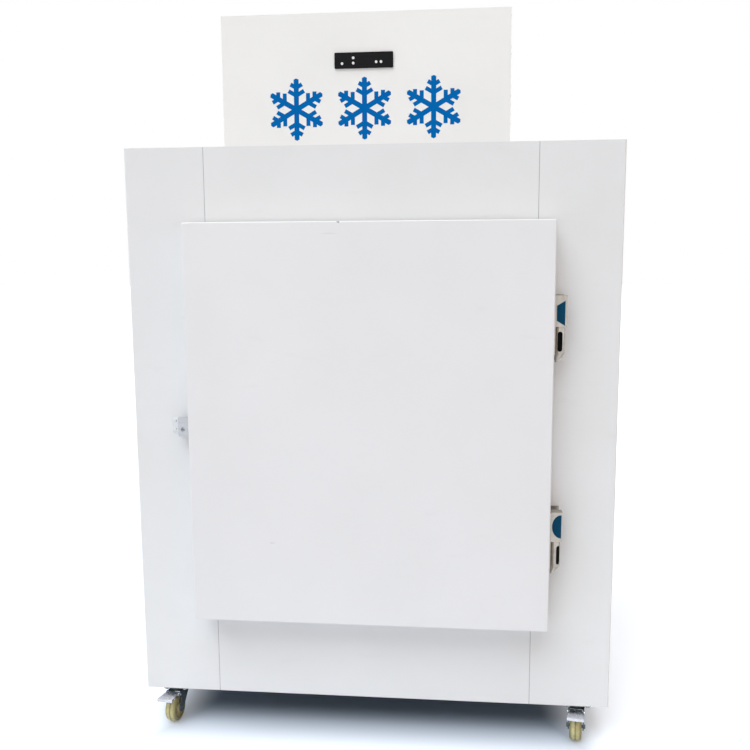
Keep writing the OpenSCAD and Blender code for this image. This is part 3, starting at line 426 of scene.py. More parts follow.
@dataclass(frozen=True)
class FinStock(Finish):
    """Pack of thin fins, drawn at 3 mm between the fins that the frame models.

    Attributes:
        pitch: Distance between two drawn fins, in millimetres.
    """

    # In the gaps between fins this colour is painted shade
    shade: str = "#202326"
    deep: float = 0.6
    bite: float = 1.0
    pitch: float = 3.0

    def height(self, tree: Tree, at: Socket) -> Socket:
        """Waves across the fins, 0 in a gap and 1 on an edge."""
        # A wave texture of scale 0.31 repeats once in a metre
        return add(tree, "TexWave", {
            "Vector": at, "Scale": 0.31 / (self.pitch * MM), "Distortion": 0.3, "Detail": 1.0},
            bands_direction="X").outputs[1]

    def colours(self, tree: Tree, at: Socket) -> Socket:
        """The fins' colour on their edges, and painted shade in the gaps between them."""
        # Painted shade: the gaps take the shade colour, the edges keep the fins' own
        edge = add(tree, "MapRange", {0: self.height(tree, at), 3: 0.75, 4: 0.0}).outputs[0]
        return add(tree, "Mix", {0: edge, 6: self.colour, 7: self.shade}, data_type="RGBA").outputs[2]


@dataclass(frozen=True)
class HammeredEnamel(Finish):
    """Stove enamel sprayed thick: small rounded dimples, a deep gloss, and dust that dulls it in clouds."""

    shade: str = "#8a8a86"
    cloud: float = 50.0
    cover: float = 0.16
    spread: Point = (0.0, 0.2)
    pattern: Relief = Relief.CELLS
    grain: float = 5.0
    deep: float = 0.1
    bite: float = 0.7


# Polyester powder coat, sprayed and baked: near-white satin that shows soft reflections
CABINET_PAINT = PowderCoat("powder_coat_white", "#eaebec", 0.36)
# The same coat on the door, with the chip on its upper edge and the two scuffs of the real one
DOOR_PAINT = PowderCoat("powder_coat_door", "#ebebed", 0.34, marks=(
    Mark((-66, -462, BASE_Z + 1283), (4, 6, 3), "#6c6a68", 0.7),
    Mark((-92, -462, BASE_Z + 1255), (22, 6, 1.6), "#b7b4b0", 0.22),
    Mark((-250, -462, BASE_Z + 460), (9, 6, 2.4), "#c3c4c6", 0.4),
))
# The same coat on the header, its colour a shade whiter: painted light for the lamp it stands under
HEADER_PAINT = PowderCoat("powder_coat_header", "#f8f8f6", 0.36)
# Prepainted steel lining, embossed so that frost lets go of it
LINER = StuccoSheet("stucco_lining", "#e3e7ea", 0.38)
# Polyurethane foam cut at an edge: matt, creamy and full of small bubbles
FOAM = MouldedPlastic("polyurethane_foam", "#e6d9ae", 0.9, grain=2.0, deep=0.4, shade="#b5a570")
# Extruded PVC breaker strip: pale grey and smooth
TRIM = MouldedPlastic("pvc_breaker", "#d3d7da", 0.42, grain=3.0, deep=0.01, shade="#9aa0a4")
# Hot-dip galvanised sheet: grey crystals
GALVANISED = ZincSheet("galvanised_sheet", "#b4b9bd", 0.42, 1.0)
# Zinc on the pressed steel forks and caster plates, its blue grey darkened as painted shade of the dark space
# under the cabinet
FORK_ZINC = PlatedMetal("zinc_painted_shade", "#6c7579", 0.58, 1.0, shade="#40474a", cloud=14)
# The same zinc on the toe pedals, lightened to near white: a painted reflection of the bright sky they face
PEDAL_ZINC = PlatedMetal("zinc_painted_reflection", "#dddee4", 0.3, 1.0, shade="#a2a6ae", cloud=12, cover=0.35)
# Nickel-chrome on die-cast zinc: a clear shine with pale reflections
CHROME = PlatedMetal("satin_chrome", "#c9cbcc", 0.2, 1.0, shade="#9a9d9f", cloud=22, cover=0.3)
# The same chrome cast rough on the hinges; its warm grey colour is a painted reflection of the shaded wall
# beside them
HINGE_CHROME = PlatedMetal("cast_chrome_painted_reflection", "#b5aea4", 0.34, 1.0, shade="#86817a", cloud=16, cover=0.4)
# Matt black plug in the hinge's slot; its near-black colour also stands for the shade deep in the slot, as
# painted shade
SLOT_PLUG_SHADE_BLACK = MouldedPlastic("black_plug_painted_shade", "#060606", 0.8, shine=0.08, grain=2.0, deep=0.02,
                            shade="#151515")
# Stainless strip, brushed along the hasp
STAINLESS = BrushedMetal("brushed_stainless", "#b6b7ba", 0.34, 1.0, stretch=(0.02, 1.0, 1.0))
# The staple's stainless, lightened as a painted reflection of the white cabinet behind it
LIGHTENED_STAINLESS = BrushedMetal("stainless_painted_reflection", "#cfd1d3", 0.4, 1.0, stretch=(0.02, 1.0, 1.0))
# Extruded aluminium slats, lines along the die
SLATS = BrushedMetal("extruded_aluminium", "#bfc4c8", 0.38, 1.0, stretch=(1.0, 0.02, 1.0), cloud=2.5,
                     grain=2.5)
# Spark-grained black ABS
BLACK_ABS = MouldedPlastic("black_abs", "#0d0d0e", 0.45, shine=0.12, shade="#2c2c2e")
# Smoked acrylic window: black and glossy
ACRYLIC = MouldedPlastic("smoked_acrylic", "#151318", 0.08, ior=1.49, shine=0.14, grain=8.0, deep=0.004,
                         shade="#242028")
# White silicone key caps: matt and soft
SILICONE = MouldedPlastic("white_silicone", "#f0f1f1", 0.5, grain=1.0, deep=0.01, shade="#cfd0d0")
# Cast vinyl film: flat strong blue with a low sheen
BLUE_FILM = MouldedPlastic("blue_vinyl_film", "#0069b4", 0.5, shine=0.03, grain=6.0, deep=0.01,
                           shade="#0a74bb")
# Moulded blank plate let into the hinge cover: dark petrol blue
BLUE_PLATE = MouldedPlastic("blue_blank_plate", "#013f5c", 0.4, shine=0.08, grain=3.0, deep=0.01,
                            shade="#1a5f80")
# Extruded soft PVC: dove grey, slightly greasy shine
GASKET = MouldedPlastic("soft_pvc_gasket", "#9a9fa3", 0.5, grain=2.0, deep=0.02, shade="#70757a")
# Bare aluminium fins
FINS = FinStock("aluminium_fins", "#c3c8cc", 0.36, 0.9)
# Fins and tubes dipped in black epoxy
DARK_FINS = FinStock("epoxy_coated_fins", "#4a4e53", 0.45, 0.4)
# Glass-filled nylon fan blades: charcoal, dry and even
FAN_NYLON = MouldedPlastic("glass_filled_nylon", "#3a3d41", 0.55, grain=2.5, deep=0.04, shade="#6f7276")
# Baked black enamel on the compressor and motors
BLACK_ENAMEL = HammeredEnamel("black_enamel", "#1a1b1d", 0.3, coat=0.2)
# Black dip coat on the wire guards
DIPPED_WIRE = HammeredEnamel("black_dip_coat", "#222326", 0.42, grain=3.0)
# Grey hammer paint on the electrical box
GREY_ENAMEL = HammeredEnamel("grey_hammer_paint", "#73787d", 0.36, coat=0.15)
# Drawn copper tube that has browned at its brazed elbows
COPPER = PlatedMetal("drawn_copper", "#b8734a", 0.28, 1.0, shade="#5e3a28", cloud=45, cover=0.6)
# PVC drain pipe
DRAIN_PVC = MouldedPlastic("drain_pvc", "#dcdddd", 0.4, grain=4.0, deep=0.01, shade="#a9abac")
# Machined steel screws and bolts
BOLT_STEEL = PlatedMetal("machined_steel", "#b2b5b8", 0.26, 1.0, shade="#55585b", cloud=6)
# Silicone sealant drawn into the joints of the front sheets: pale grey
SEALANT = MouldedPlastic("joint_sealant", "#a9abad", 0.5, grain=3.0, deep=0.02, shade="#8d9092")
# Rubber-sheathed cable: matt black
CABLE = MouldedPlastic("rubber_cable", "#17181a", 0.6, grain=3.0, deep=0.02, shade="#3a3b3d")
# Closed-cell foam sleeve round the cold line: soft black
SLEEVE = MouldedPlastic("foam_sleeve", "#1d1e20", 0.85, grain=2.5, deep=0.08, shade="#3c3d40")
# Moulded nylon hub of a wheel: creamy white
HUB_NYLON = MouldedPlastic("hub_nylon", "#c4bd98", 0.5, grain=2.0, deep=0.02, shade="#8d8768")


# ---- Meshes ----


def placed(origin: Point3, out: Point3, up: Point3 = (0.0, 0.0, 1.0)) -> Matrix:
    """Matrix whose local Z points along out and whose local Y points along up.

    Args:
        origin: Where the local origin lies, in millimetres.
        out: Direction of local Z.
        up: Direction of local Y, square to out.

    Returns:
        The 4 by 4 matrix.
    """
    z = Vector(out).normalized()
    y = Vector(up).normalized()
    x = y.cross(z)
    return Matrix.Translation(origin) @ Matrix((x, y, z)).transposed().to_4x4()


def rounded(width: float, height: float, radius: float, steps: int = 6) -> list[Point]:
    """Outline of a rectangle with round corners, centred, anticlockwise.

    Args:
        width: Full width.
        height: Full height.
        radius: Corner radius.
        steps: Straight pieces in each corner.

    Returns:
        The outline's points.
    """
    points = []
    for turn, (sx, sy) in enumerate(((1, 1), (-1, 1), (-1, -1), (1, -1))):
        for i in range(steps + 1):
            angle = math.pi / 2 * (turn + i / steps)
            points.append((sx * (width / 2 - radius) + radius * math.cos(angle),
                           sy * (height / 2 - radius) + radius * math.sin(angle)))
    return points


def circle(radius: float, steps: int = 24) -> list[Point]:
    """Outline of a circle, anticlockwise."""
    return [(radius * math.cos(2 * math.pi * i / steps), radius * math.sin(2 * math.pi * i / steps))
            for i in range(steps)]


class Shape:
    """Collects the faces of one piece, in millimetres in the row frame."""

    def __init__(self) -> None:
        """Starts with an empty mesh."""
        self.bm = bmesh.new()

    def skin(self, rings: Sequence[Sequence[bmesh.types.BMVert]], closed: bool = False,
             top: bool = True) -> None:
        """Joins rings with equal numbers of points.

        Args:
            rings: The rings in their order.
            closed: Joins the last ring to the first instead of capping the ends.
            top: Caps the last ring as well as the first.
        """
        count = len(rings[0])
        for low, high in list(zip(rings, rings[1:])) + ([(rings[-1], rings[0])] if closed else []):
            for i in range(count):
                j = (i + 1) % count
                self.bm.faces.new((low[i], low[j], high[j], high[i]))
        if not closed:
            self.bm.faces.new(reversed(rings[0]))
            if top:
                self.bm.faces.new(rings[-1])

    def loft(self, loops: Sequence[tuple[Iterable[Point], float]], at: Matrix,
             closed: bool = False) -> "Shape":
        """Skins a row of outlines with equal numbers of points.

        Args:
            loops: Outlines in local X and Y, each with its local Z.
            at: Where the local frame lies.
            closed: Joins the last outline to the first instead of capping both ends.

        Returns:
            This shape, so that calls can follow each other.
        """
        rings = [[self.bm.verts.new(at @ Vector((x, y, z))) for x, y in outline] for outline, z in loops]
        self.skin(rings, closed)
        return self

    def plate(self, outline: Sequence[Point], thick: float, at: Matrix, edge: float = 0.0) -> "Shape":
        """Flat plate on local Z = 0 that grows along local Z.

        Args:
            outline: Its outline in local X and Y.
            thick: Its thickness.
            at: Where the local frame lies.
            edge: Width of the chamfer round its upper face, drawn towards the outline's middle.

        Returns:
            This shape.
        """
        loops: list[tuple[Sequence[Point], float]] = [(outline, 0.0)]
        if edge:
            cx = sum(p[0] for p in outline) / len(outline)
            cy = sum(p[1] for p in outline) / len(outline)
            half = max(math.hypot(p[0] - cx, p[1] - cy) for p in outline)
            k = 1 - edge / half
            loops.append((outline, thick - edge))
            loops.append(([(cx + (x - cx) * k, cy + (y - cy) * k) for x, y in outline], thick))
        else:
            loops.append((outline, thick))
        return self.loft(loops, at)

    def turned(self, profile: Sequence[Point], at: Matrix, steps: int = 24) -> "Shape":
        """Round piece about local Z.

        Args:
            profile: Radius and local Z of each step, from one end of the axis to the other.
            at: Where the local frame lies.
            steps: Flat sides round the axis.

        Returns:
            This shape.
        """
        return self.loft([(circle(r, steps), z) for r, z in profile], at)

    def screw(self, at: Matrix, radius: float, rise: float) -> "Shape":
        """Pan-head screw with a cross recess, standing on local Z = 0.

        Args:
            at: Where the local frame lies.
            radius: Radius of the head.
            rise: Height of the head.

        Returns:
            This shape.
        """
        steps = 24
        dome = [(radius, 0.0), (radius, rise * 0.35), (radius * 0.93, rise * 0.68),
                (radius * 0.78, rise * 0.88),
                (radius * 0.62, rise)]
        half, reach = radius * 0.13, radius * 0.5
        arm = [(half, half), (half, reach), (-half, reach)]
        cross = []
        for turn in range(4):
            c, s = math.cos(turn * math.pi / 2), math.sin(turn * math.pi / 2)
            cross += [(x * c - y * s, x * s + y * c) for x, y in arm]
        rings = [[self.bm.verts.new(at @ Vector((x, y, z))) for x, y in circle(r, steps)] for r, z in dome]
        self.skin(rings, top=False)
        top = [self.bm.verts.new(at @ Vector((x, y, rise))) for x, y in cross]
        floor = [self.bm.verts.new(at @ Vector((x * 0.8, y * 0.8, rise * 0.4))) for x, y in cross]
        edges = [self.bm.edges.new((top[i - 1], top[i])) for i in range(len(top))]
        rim = [self.bm.edges.get((rings[-1][i], rings[-1][(i + 1) % steps])) for i in range(steps)]
        bmesh.ops.triangle_fill(self.bm, use_beauty=True, edges=edges + rim)
        for i in range(len(top)):
            j = (i + 1) % len(top)
            self.bm.faces.new((top[i], top[j], floor[j], floor[i]))
        self.bm.faces.new(floor)
        return self

    def tube(self, points: Sequence[Point3], radius: float, turns: int = 6, sides: int = 12) -> "Shape":
        """Round tube or cable through some points, bent softly between them.

        Args:
            points: The points, in millimetres in the row frame.
            radius: The tube's radius.
            turns: Straight pieces between two points.
            sides: Flat sides round the tube.

        Returns:
            This shape.
        """
        inner = [Vector(p) for p in points]
        knots = [inner[0] * 2 - inner[1], *inner, inner[-1] * 2 - inner[-2]]
        path = []
        for a, b, c, d in zip(knots, knots[1:], knots[2:], knots[3:]):
            for i in range(turns):
                t = i / turns
                path.append(0.5 * (2 * b + (c - a) * t + (2 * a - 5 * b + 4 * c - d) * t * t
                                   + (3 * b - a - 3 * c + d) * t ** 3))
        path.append(knots[-2])
        rings = []
        side = Vector((0.31, 0.17, 0.93))
        for i, spot in enumerate(path):
            way = (path[min(i + 1, len(path) - 1)] - path[max(i - 1, 0)]).normalized()
            side = (side - way * side.dot(way)).normalized()
            over = way.cross(side)
            rings.append([self.bm.verts.new(spot + side * x + over * y) for x, y in circle(radius, sides)])
        self.skin(rings)
        return self

    def piece(self, name: str, body: str, finish: Finish, slot: str, bevel: float = 0.0,
              smooth: float = 35.0) -> bpy.types.Object:
        """Turns the collected faces into an object that rides on a body.

        Args:
            name: Name of the piece.
            body: The CAD body that carries it.
            finish: What it is made of.
            slot: The record's material slot; not used.
            bevel: Width of the rounded edges, in millimetres.
            smooth: Angle in degrees under which an edge is shaded smooth.

        Returns:
            The object.
        """
        bmesh.ops.scale(self.bm, vec=(MM, MM, MM), verts=self.bm.verts)
        bmesh.ops.recalc_face_normals(self.bm, faces=self.bm.faces)
        data = bpy.data.meshes.new(name)
        self.bm.to_mesh(data)
        self.bm.free()
        data.materials.append(material(finish))
        data.shade_smooth()
        data.set_sharp_from_angle(angle=math.radians(smooth))
        made = bpy.data.objects.new(name, data)
        bpy.context.scene.collection.objects.link(made)
        if bevel:
            soften(made, bevel)
        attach(made, body)
        log.info("made %s, which rides on %s", name, body)
        return made


def soften(target: bpy.types.Object, width: float) -> None:
    """Rounds an object's sharp edges without touching its mesh.

    Args:
        target: A piece or a CAD node.
        width: Width of the rounding, in millimetres.
    """
    weld = target.modifiers.new("weld", "WELD")
    weld.merge_threshold = 1e-6
    bevel = target.modifiers.new("edges", "BEVEL")
    bevel.width = width * MM
    bevel.segments = 2
    bevel.limit_method = "ANGLE"
    bevel.angle_limit = math.radians(40)
    target.modifiers.new("shading", "WEIGHTED_NORMAL")


def dress(finish: Finish, *names: str, bevel: float = 0.0) -> None:
    """Gives CAD nodes their finish.

    Args:
        finish: What they are made of.
        names: The nodes.
        bevel: Width of the rounded edges, in millimetres.
    """
    for name in names:
        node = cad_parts[name]
        for holder in node.material_slots:
            holder.material = material(finish)
        if not node.material_slots:
            node.data.materials.append(material(finish))
        if bevel:
            soften(node, bevel)


def fasteners(name: str, body: str, spots: Iterable[Point3], out: Point3, radius: float, rise: float,
              screws: bool = False) -> None:
    """Adds a row of equal blind rivets or cross-head screws.

    Args:
        name: Name of the piece.
        body: The CAD body that carries them.
        spots: Where they stand, in millimetres.
        out: The way their heads point.
        radius: Radius of a head.
        rise: Height of a head.
        screws: Cross-head screws instead of rivets.
    """
    shape = Shape()
    up = (0.0, 0.0, 1.0) if abs(out[2]) < 0.5 else (0.0, 1.0, 0.0)
    for spot in spots:
        if screws:
            shape.screw(placed(spot, out, up), radius, rise)
        else:
            dome = [(radius, 0.0), (radius * 0.9, rise * 0.6), (radius * 0.55, rise),
                    (radius * 0.5, rise * 0.6)]
            shape.turned(dome, placed(spot, out, up), 16)
    shape.piece(name, body, BOLT_STEEL, "galvanised")


def corners(mid: Point, half: Point, z: float) -> list[Point3]:
    """The four corners of a rectangle, as places for bolts.

    Args:
        mid: Its middle in X and Y.
        half: Half its width and depth.
        z: Its height.

    Returns:
        The corners.
    """
    return [(mid[0] + sx * half[0], mid[1] + sy * half[1], z) for sx in (-1, 1) for sy in (-1, 1)]


def bolts(name: str, spots: Iterable[Point3], out: Point3, washer: float, thick: float, head: float) -> None:
    """Adds equal M8 hexagon bolts with washers to the cabinet.

    Args:
        name: Name of the piece.
        spots: Where the washers lie, in millimetres.
        out: The way the heads point.
        washer: Radius of a washer.
        thick: Thickness of a washer.
        head: Height of a head up to its chamfer.
    """
    chamfer = 0.8
    shape = Shape()
    for spot in spots:
        at = placed(spot, out, (0, 1, 0))
        shape.turned([(washer, 0.0), (washer, thick)], at, 24)
        shape.turned([(6.4, thick), (6.4, thick + head), (6.4 - chamfer, thick + head + chamfer)], at, 6)
    shape.piece(name, "cabinet", BOLT_STEEL, "galvanised")


# ---- Sub-assemblies ----


@dataclass
class Cabinet:
    """Insulated cabinet: painted sheets outside, embossed lining inside, rack on its floor."""

    half_w: float = 634.0
    front_y: float = -377.5
    rear_y: float = 462.5
    seam_x: float = 425.55
    seams: tuple[Point, Point] = ((BASE_Z, BASE_Z + 293.0), (BASE_Z + 1235.0, BASE_Z + 1476.0))
    low_z: float = BASE_Z
    high_z: float = BASE_Z + 1476.0
    seam_depth: float = 9.5
    seam_fill: float = 8.9
    rivet_in: float = 12.0
    plug_x: float = 310.0
    plug_z: float = BASE_Z + 738.0
    slat_pitch: float = 76.0
    slats: int = 14
    rack_top: float = BASE_Z + 100.0
    rack_mid_y: float = 35.0
    bearer_y: float = 313.5

    def dress(self) -> None:
        """Gives the cabinet's own nodes their finishes."""
        dress(CABINET_PAINT, "left_skin", "right_skin", "rear_skin", "roof_skin", "front_top_skin",
              "front_bottom_skin")
        dress(FOAM, "insulation")
        dress(LINER, "inner_liner")
        dress(TRIM, "opening_trim")
        dress(GALVANISED, "base_pan")
        dress(SLATS, "floor_rack", bevel=1.2)
        dress(DRAIN_PVC, "drain_tube")

    def build(self) -> None:
        """Dresses the nodes and adds joint sealant, rivets and the plugs of the foam's filling holes."""
        self.dress()
        x, low, high = self.half_w - self.rivet_in, self.low_z + self.rivet_in, self.high_z - self.rivet_in
        spots = [(side * x, self.rear_y, low + (high - low) * i / 10) for side in (-1, 1) for i in range(11)]
        spots += [(x * (i / 4 - 1), self.rear_y, z) for z in (low, high) for i in range(1, 8)]
        fasteners("rear_sheet_rivets", "cabinet", spots, (0, 1, 0), 3.4, 1.2)
        beads = Shape()
        for side in (-1, 1):
            for low, high in self.seams:
                back = (side * self.seam_x, self.front_y + self.seam_depth, (low + high) / 2)
                beads.plate(rounded(1.5, high - low, 0.3, 2), self.seam_fill, placed(back, (0, -1, 0)))
        beads.piece("seam_sealant", "cabinet", SEALANT, "trim_plastic")
        plugs = Shape()
        for side in (-1, 1):
            at = placed((side * self.plug_x, self.rear_y, self.plug_z), (0, 1, 0))
            plugs.turned([(14.0, 0.0), (14.0, 0.7), (12.8, 1.5), (9.0, 1.5), (8.4, 0.9)], at, 32)
        plugs.piece("foam_hole_plugs", "cabinet", SILICONE, "key_white")
        first = -(self.slats - 1) / 2 * self.slat_pitch
        spots = [(first + i * self.slat_pitch, self.rack_mid_y + side * self.bearer_y, self.rack_top)
                 for i in range(self.slats) for side in (-1, 0, 1)]
        fasteners("rack_rivets", "cabinet", spots, (0, 0, 1), 3.0, 0.9)


@dataclass
class Door:
    """Overlay door: folded pan, foam, lining with a raised panel, and the magnetic gasket."""

    width: float = 926.0
    height: float = 1042.0
    low_z: float = BASE_Z + 243.0
    front_y: float = -462.5
    back_y: float = -387.5
    sheet: float = 1.0
    bend: float = 3.2
    corner: float = 5.0
    seal_inset: float = 8.0
    seal_w: float = 22.0
    seal_h: float = 9.7

    def at(self) -> Matrix:
        """Local frame on the door's front face: X to the right, Y up, Z into the door."""
        return Matrix.Translation((0, self.front_y, self.low_z + self.height / 2)) @ Matrix(
            ((1, 0, 0), (0, 0, 1), (0, 1, 0))).to_4x4()

    def outline(self, inset: float, radius: float) -> list[Point]:
        """The door's outline drawn inwards."""
        return rounded(self.width - 2 * inset, self.height - 2 * inset, max(radius, 0.2), 8)

    def pan(self) -> None:
        """Folded pan whose front edges are bent round, not sharp."""
        loops = []
        for step in range(7):
            angle = math.pi / 2 * step / 6
            inset = self.bend * (1 - math.sin(angle))
            loops.append((self.outline(inset, self.corner - inset * 0.6), self.bend * (1 - math.cos(angle))))
        depth = self.back_y - self.front_y
        loops.append((self.outline(0, self.corner), depth))
        loops.append((self.outline(self.sheet, self.corner - self.sheet), depth))
        loops.append((self.outline(self.sheet, self.corner - self.sheet), self.bend + self.sheet))
        loops.append((self.outline(self.sheet + self.bend, self.corner - self.sheet), self.sheet))
        pan = Shape().loft(loops, self.at()).piece("door_pan", "door", DOOR_PAINT, "white_paint", smooth=50)
        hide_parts("door_skin")

    def gasket(self) -> None:
        """Magnetic gasket: dart foot, folded bellows and the bulb that holds the magnet strip."""
        mid = self.seal_inset + self.seal_w / 2
        half = [(11.0, 0.0), (11.0, 1.4), (9.6, 2.4), (5.6, 2.8), (5.0, 3.6), (6.6, 4.3), (6.9, 5.2),
                (6.9, 8.3), (6.2, 9.3), (5.0, self.seal_h)]
        section = [(mid - d, y) for d, y in half] + [(mid + d, y) for d, y in reversed(half)]
        depth = self.back_y - self.front_y
        loops = [(self.outline(inset, 2.5), depth + y) for inset, y in section]
        gasket = Shape().loft(loops, self.at(), closed=True).piece(
            "door_gasket", "door", GASKET, "seal_rubber", smooth=60)
        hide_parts("door_seal")

    def build(self) -> None:
        """Builds the pan and the gasket and dresses the rest of the door."""
        self.pan()
        self.gasket()
        dress(FOAM, "door_core")
        dress(LINER, "door_liner")


class Inlay(Enum):
    """Shape of the blank plate in a hinge's cover."""

    TRAPEZOID = "trapezoid"
    HALF_ROUND = "half_round"


@dataclass
class EdgeHinge:
    """Lift-off edge hinge: cast cabinet half with a slot, and a cover that turns with the door.

    Attributes:
        name: "upper" or "lower".
        foot_z: Height of the hinge's foot.
        inlay: Shape of the blank plate.
        slot_turn: Turn of the barrel's slot about the pin, in degrees.
    """

    name: str
    foot_z: float
    inlay: Inlay
    slot_turn: float
    pin_x: float = 479.0
    pin_y: float = -425.0
    cover_front: float = 16.0
    slot_mid_z: float = 52.0

    def plate_outline(self) -> list[Point]:
        """The blank plate's outline, in X from the pin and Z from the hinge's foot."""
        left = -9.5
        if self.inlay is Inlay.TRAPEZOID:
            return [(left, 104), (10.8, 91.5), (10.8, 153.5), (left, 141)]
        right, low, high, steps = 13.6, 98.5, 159.5, 20
        mid, half = (low + high) / 2, (high - low) / 2
        angles = [math.pi * i / steps for i in range(steps + 1)]
        return [(right - (right - left) * math.sin(a), mid + half * math.cos(a)) for a in angles]

    def build(self) -> None:
        """Dresses the hinge's nodes and adds the plate and the slot's black plug, whose colour is partly
        painted shade.
        """
        # The hinge chrome's warm grey is a painted reflection of the shaded wall
        dress(HINGE_CHROME, f"{self.name}_hinge_base", bevel=0.5)
        dress(HINGE_CHROME, f"{self.name}_hinge_arm", bevel=0.9)
        front = Matrix.Translation((self.pin_x, self.pin_y - self.cover_front, self.foot_z)) @ Matrix(
            ((1, 0, 0), (0, 0, -1), (0, 1, 0))).to_4x4()
        Shape().plate(self.plate_outline(), 0.9, front, edge=0.6).piece(
            f"{self.name}_hinge_plate", "door", BLUE_PLATE, "hinge_chrome")
        # The plug's near black also stands for the shade deep in the slot
        plug = Matrix.Translation((self.pin_x, self.pin_y, self.foot_z + self.slot_mid_z)) @ Matrix.Rotation(
            math.radians(self.slot_turn), 4, "Z") @ placed((0, -4, 0), (0, -1, 0))
        Shape().plate(rounded(11.8, 49.8, 5.9), 6.4, plug, edge=0.5).piece(
            f"{self.name}_hinge_slot_plug_painted_shade", "cabinet", SLOT_PLUG_SHADE_BLACK, "black_plastic")


@dataclass
class Hasp:
    """Padlock hasp on the door's free edge, and the staple on the cabinet."""

    door_x: float = -463.0
    mid_z: float = BASE_Z + 756.0
    thick: float = 3.0
    back_y: float = -413.5
    front_y: float = -377.5

    def build(self) -> None:
        """Dresses both plates and adds their rivets."""
        dress(STAINLESS, "door_hasp", bevel=0.5)
        # The staple's lighter stainless is a painted reflection of the white cabinet
        dress(LIGHTENED_STAINLESS, "hasp_staple", bevel=0.5)
        spots = [(self.door_x - self.thick, self.back_y - 18, self.mid_z + z) for z in (-16, 16)]
        fasteners("hasp_rivets", "door", spots, (-1, 0, 0), 3.6, 1.8)
        spots = [(self.door_x - 57, self.front_y - self.thick, self.mid_z + z) for z in (-14, 8)]
        fasteners("staple_rivets", "cabinet", spots, (0, -1, 0), 3.2, 1.0)


@dataclass
class Header:
    """Sign header: panel with three snowflakes, hood, rear guard and the controller."""

    mid_x: float = -8.0
    front_y: float = -377.5
    sign_z: float = BASE_Z + 1564.0
    roof_z: float = BASE_Z + 1477.0
    hood_x: float = 360.0
    flange: float = 9.0
    guard_y: float = 302.5
    guard_screw_x: float = 350.0
    guard_step: float = 117.0
    flake_r: float = 76.0
    spacing: float = 172.0

    def flake(self, turn: float) -> list[Point]:
        """Outline of a plain six-armed snowflake.

        Args:
            turn: Turn of the first arm, in degrees.

        Returns:
            The outline, anticlockwise.
        """
        stem, twig = 6.2, 5.0
        side: list[Point] = [(stem * math.sqrt(3), stem)]
        rise = math.sin(math.pi / 3)
        for root, length in ((0.45, 0.30), (0.70, 0.22)):
            for edge, far in ((1, False), (1, True), (-1, True), (-1, False)):
                run = length * self.flake_r if far else (stem - edge * 0.5 * twig) / rise
                side.append((root * self.flake_r - edge * twig * rise + 0.5 * run,
                             edge * 0.5 * twig + run * rise))
        side.append((self.flake_r - 3, stem))
        arm = [(u, -v) for u, v in side] + [(self.flake_r, 0.0)] + [(u, v) for u, v in reversed(side[1:])]
        outline = []
        for i in range(6):
            c, s = math.cos(math.radians(turn + 60 * i)), math.sin(math.radians(turn + 60 * i))
            outline += [(u * c - v * s, u * s + v * c) for u, v in arm]
        return outline

    def build(self) -> None:
        """Dresses the header and adds the sign, the rivets and the rear guard's screws."""
        dress(HEADER_PAINT, "header_panel", "header_hood", "rear_guard")
        for i, side in ((-1, "left"), (0, "middle"), (1, "right")):
            at = placed((self.mid_x + i * self.spacing, self.front_y, self.sign_z), (0, -1, 0))
            Shape().plate(self.flake(30), 0.3, at).piece(f"snowflake_{side}", "cabinet", BLUE_FILM,
                                                         "white_paint")
        dress(BLACK_ABS, "power_gland", bevel=0.4)
        for side, name in ((-1, "left"), (1, "right")):
            x = self.mid_x + side * self.hood_x
            spots = [(x, y, self.roof_z + self.flange) for y in range(-350, 300, 106)]
            spots += [(x, self.front_y + 13.5, self.roof_z + z) for z in (110.0, 210.0, 300.0)]
            fasteners(f"hood_rivets_{name}", "cabinet", spots, (side, 0, 0), 3.2, 1.1)
        spots = [(self.mid_x + side * self.guard_screw_x, self.guard_y, self.roof_z + z) for side in (-1, 1)
                 for z in (14.0, 110.0, 206.0, 302.0)]
        spots += [(self.mid_x + i * self.guard_step, self.guard_y, self.roof_z + z)
                  for i in (-2, -1, 0, 1, 2) for z in (10.0, 306.0)]
        fasteners("rear_guard_screws", "cabinet", spots, (0, 1, 0), 4.0, 1.8, screws=True)


class Controller:
    """Controller strip: black bezel, smoked window and five keys."""

    def build(self) -> None:
        """Dresses the controller."""
        dress(BLACK_ABS, "controller_body", bevel=0.8)
        dress(ACRYLIC, "display_window")
        dress(SILICONE, "key_left", "key_up", "key_down", "key_right_inner", "key_right_outer", bevel=0.5)


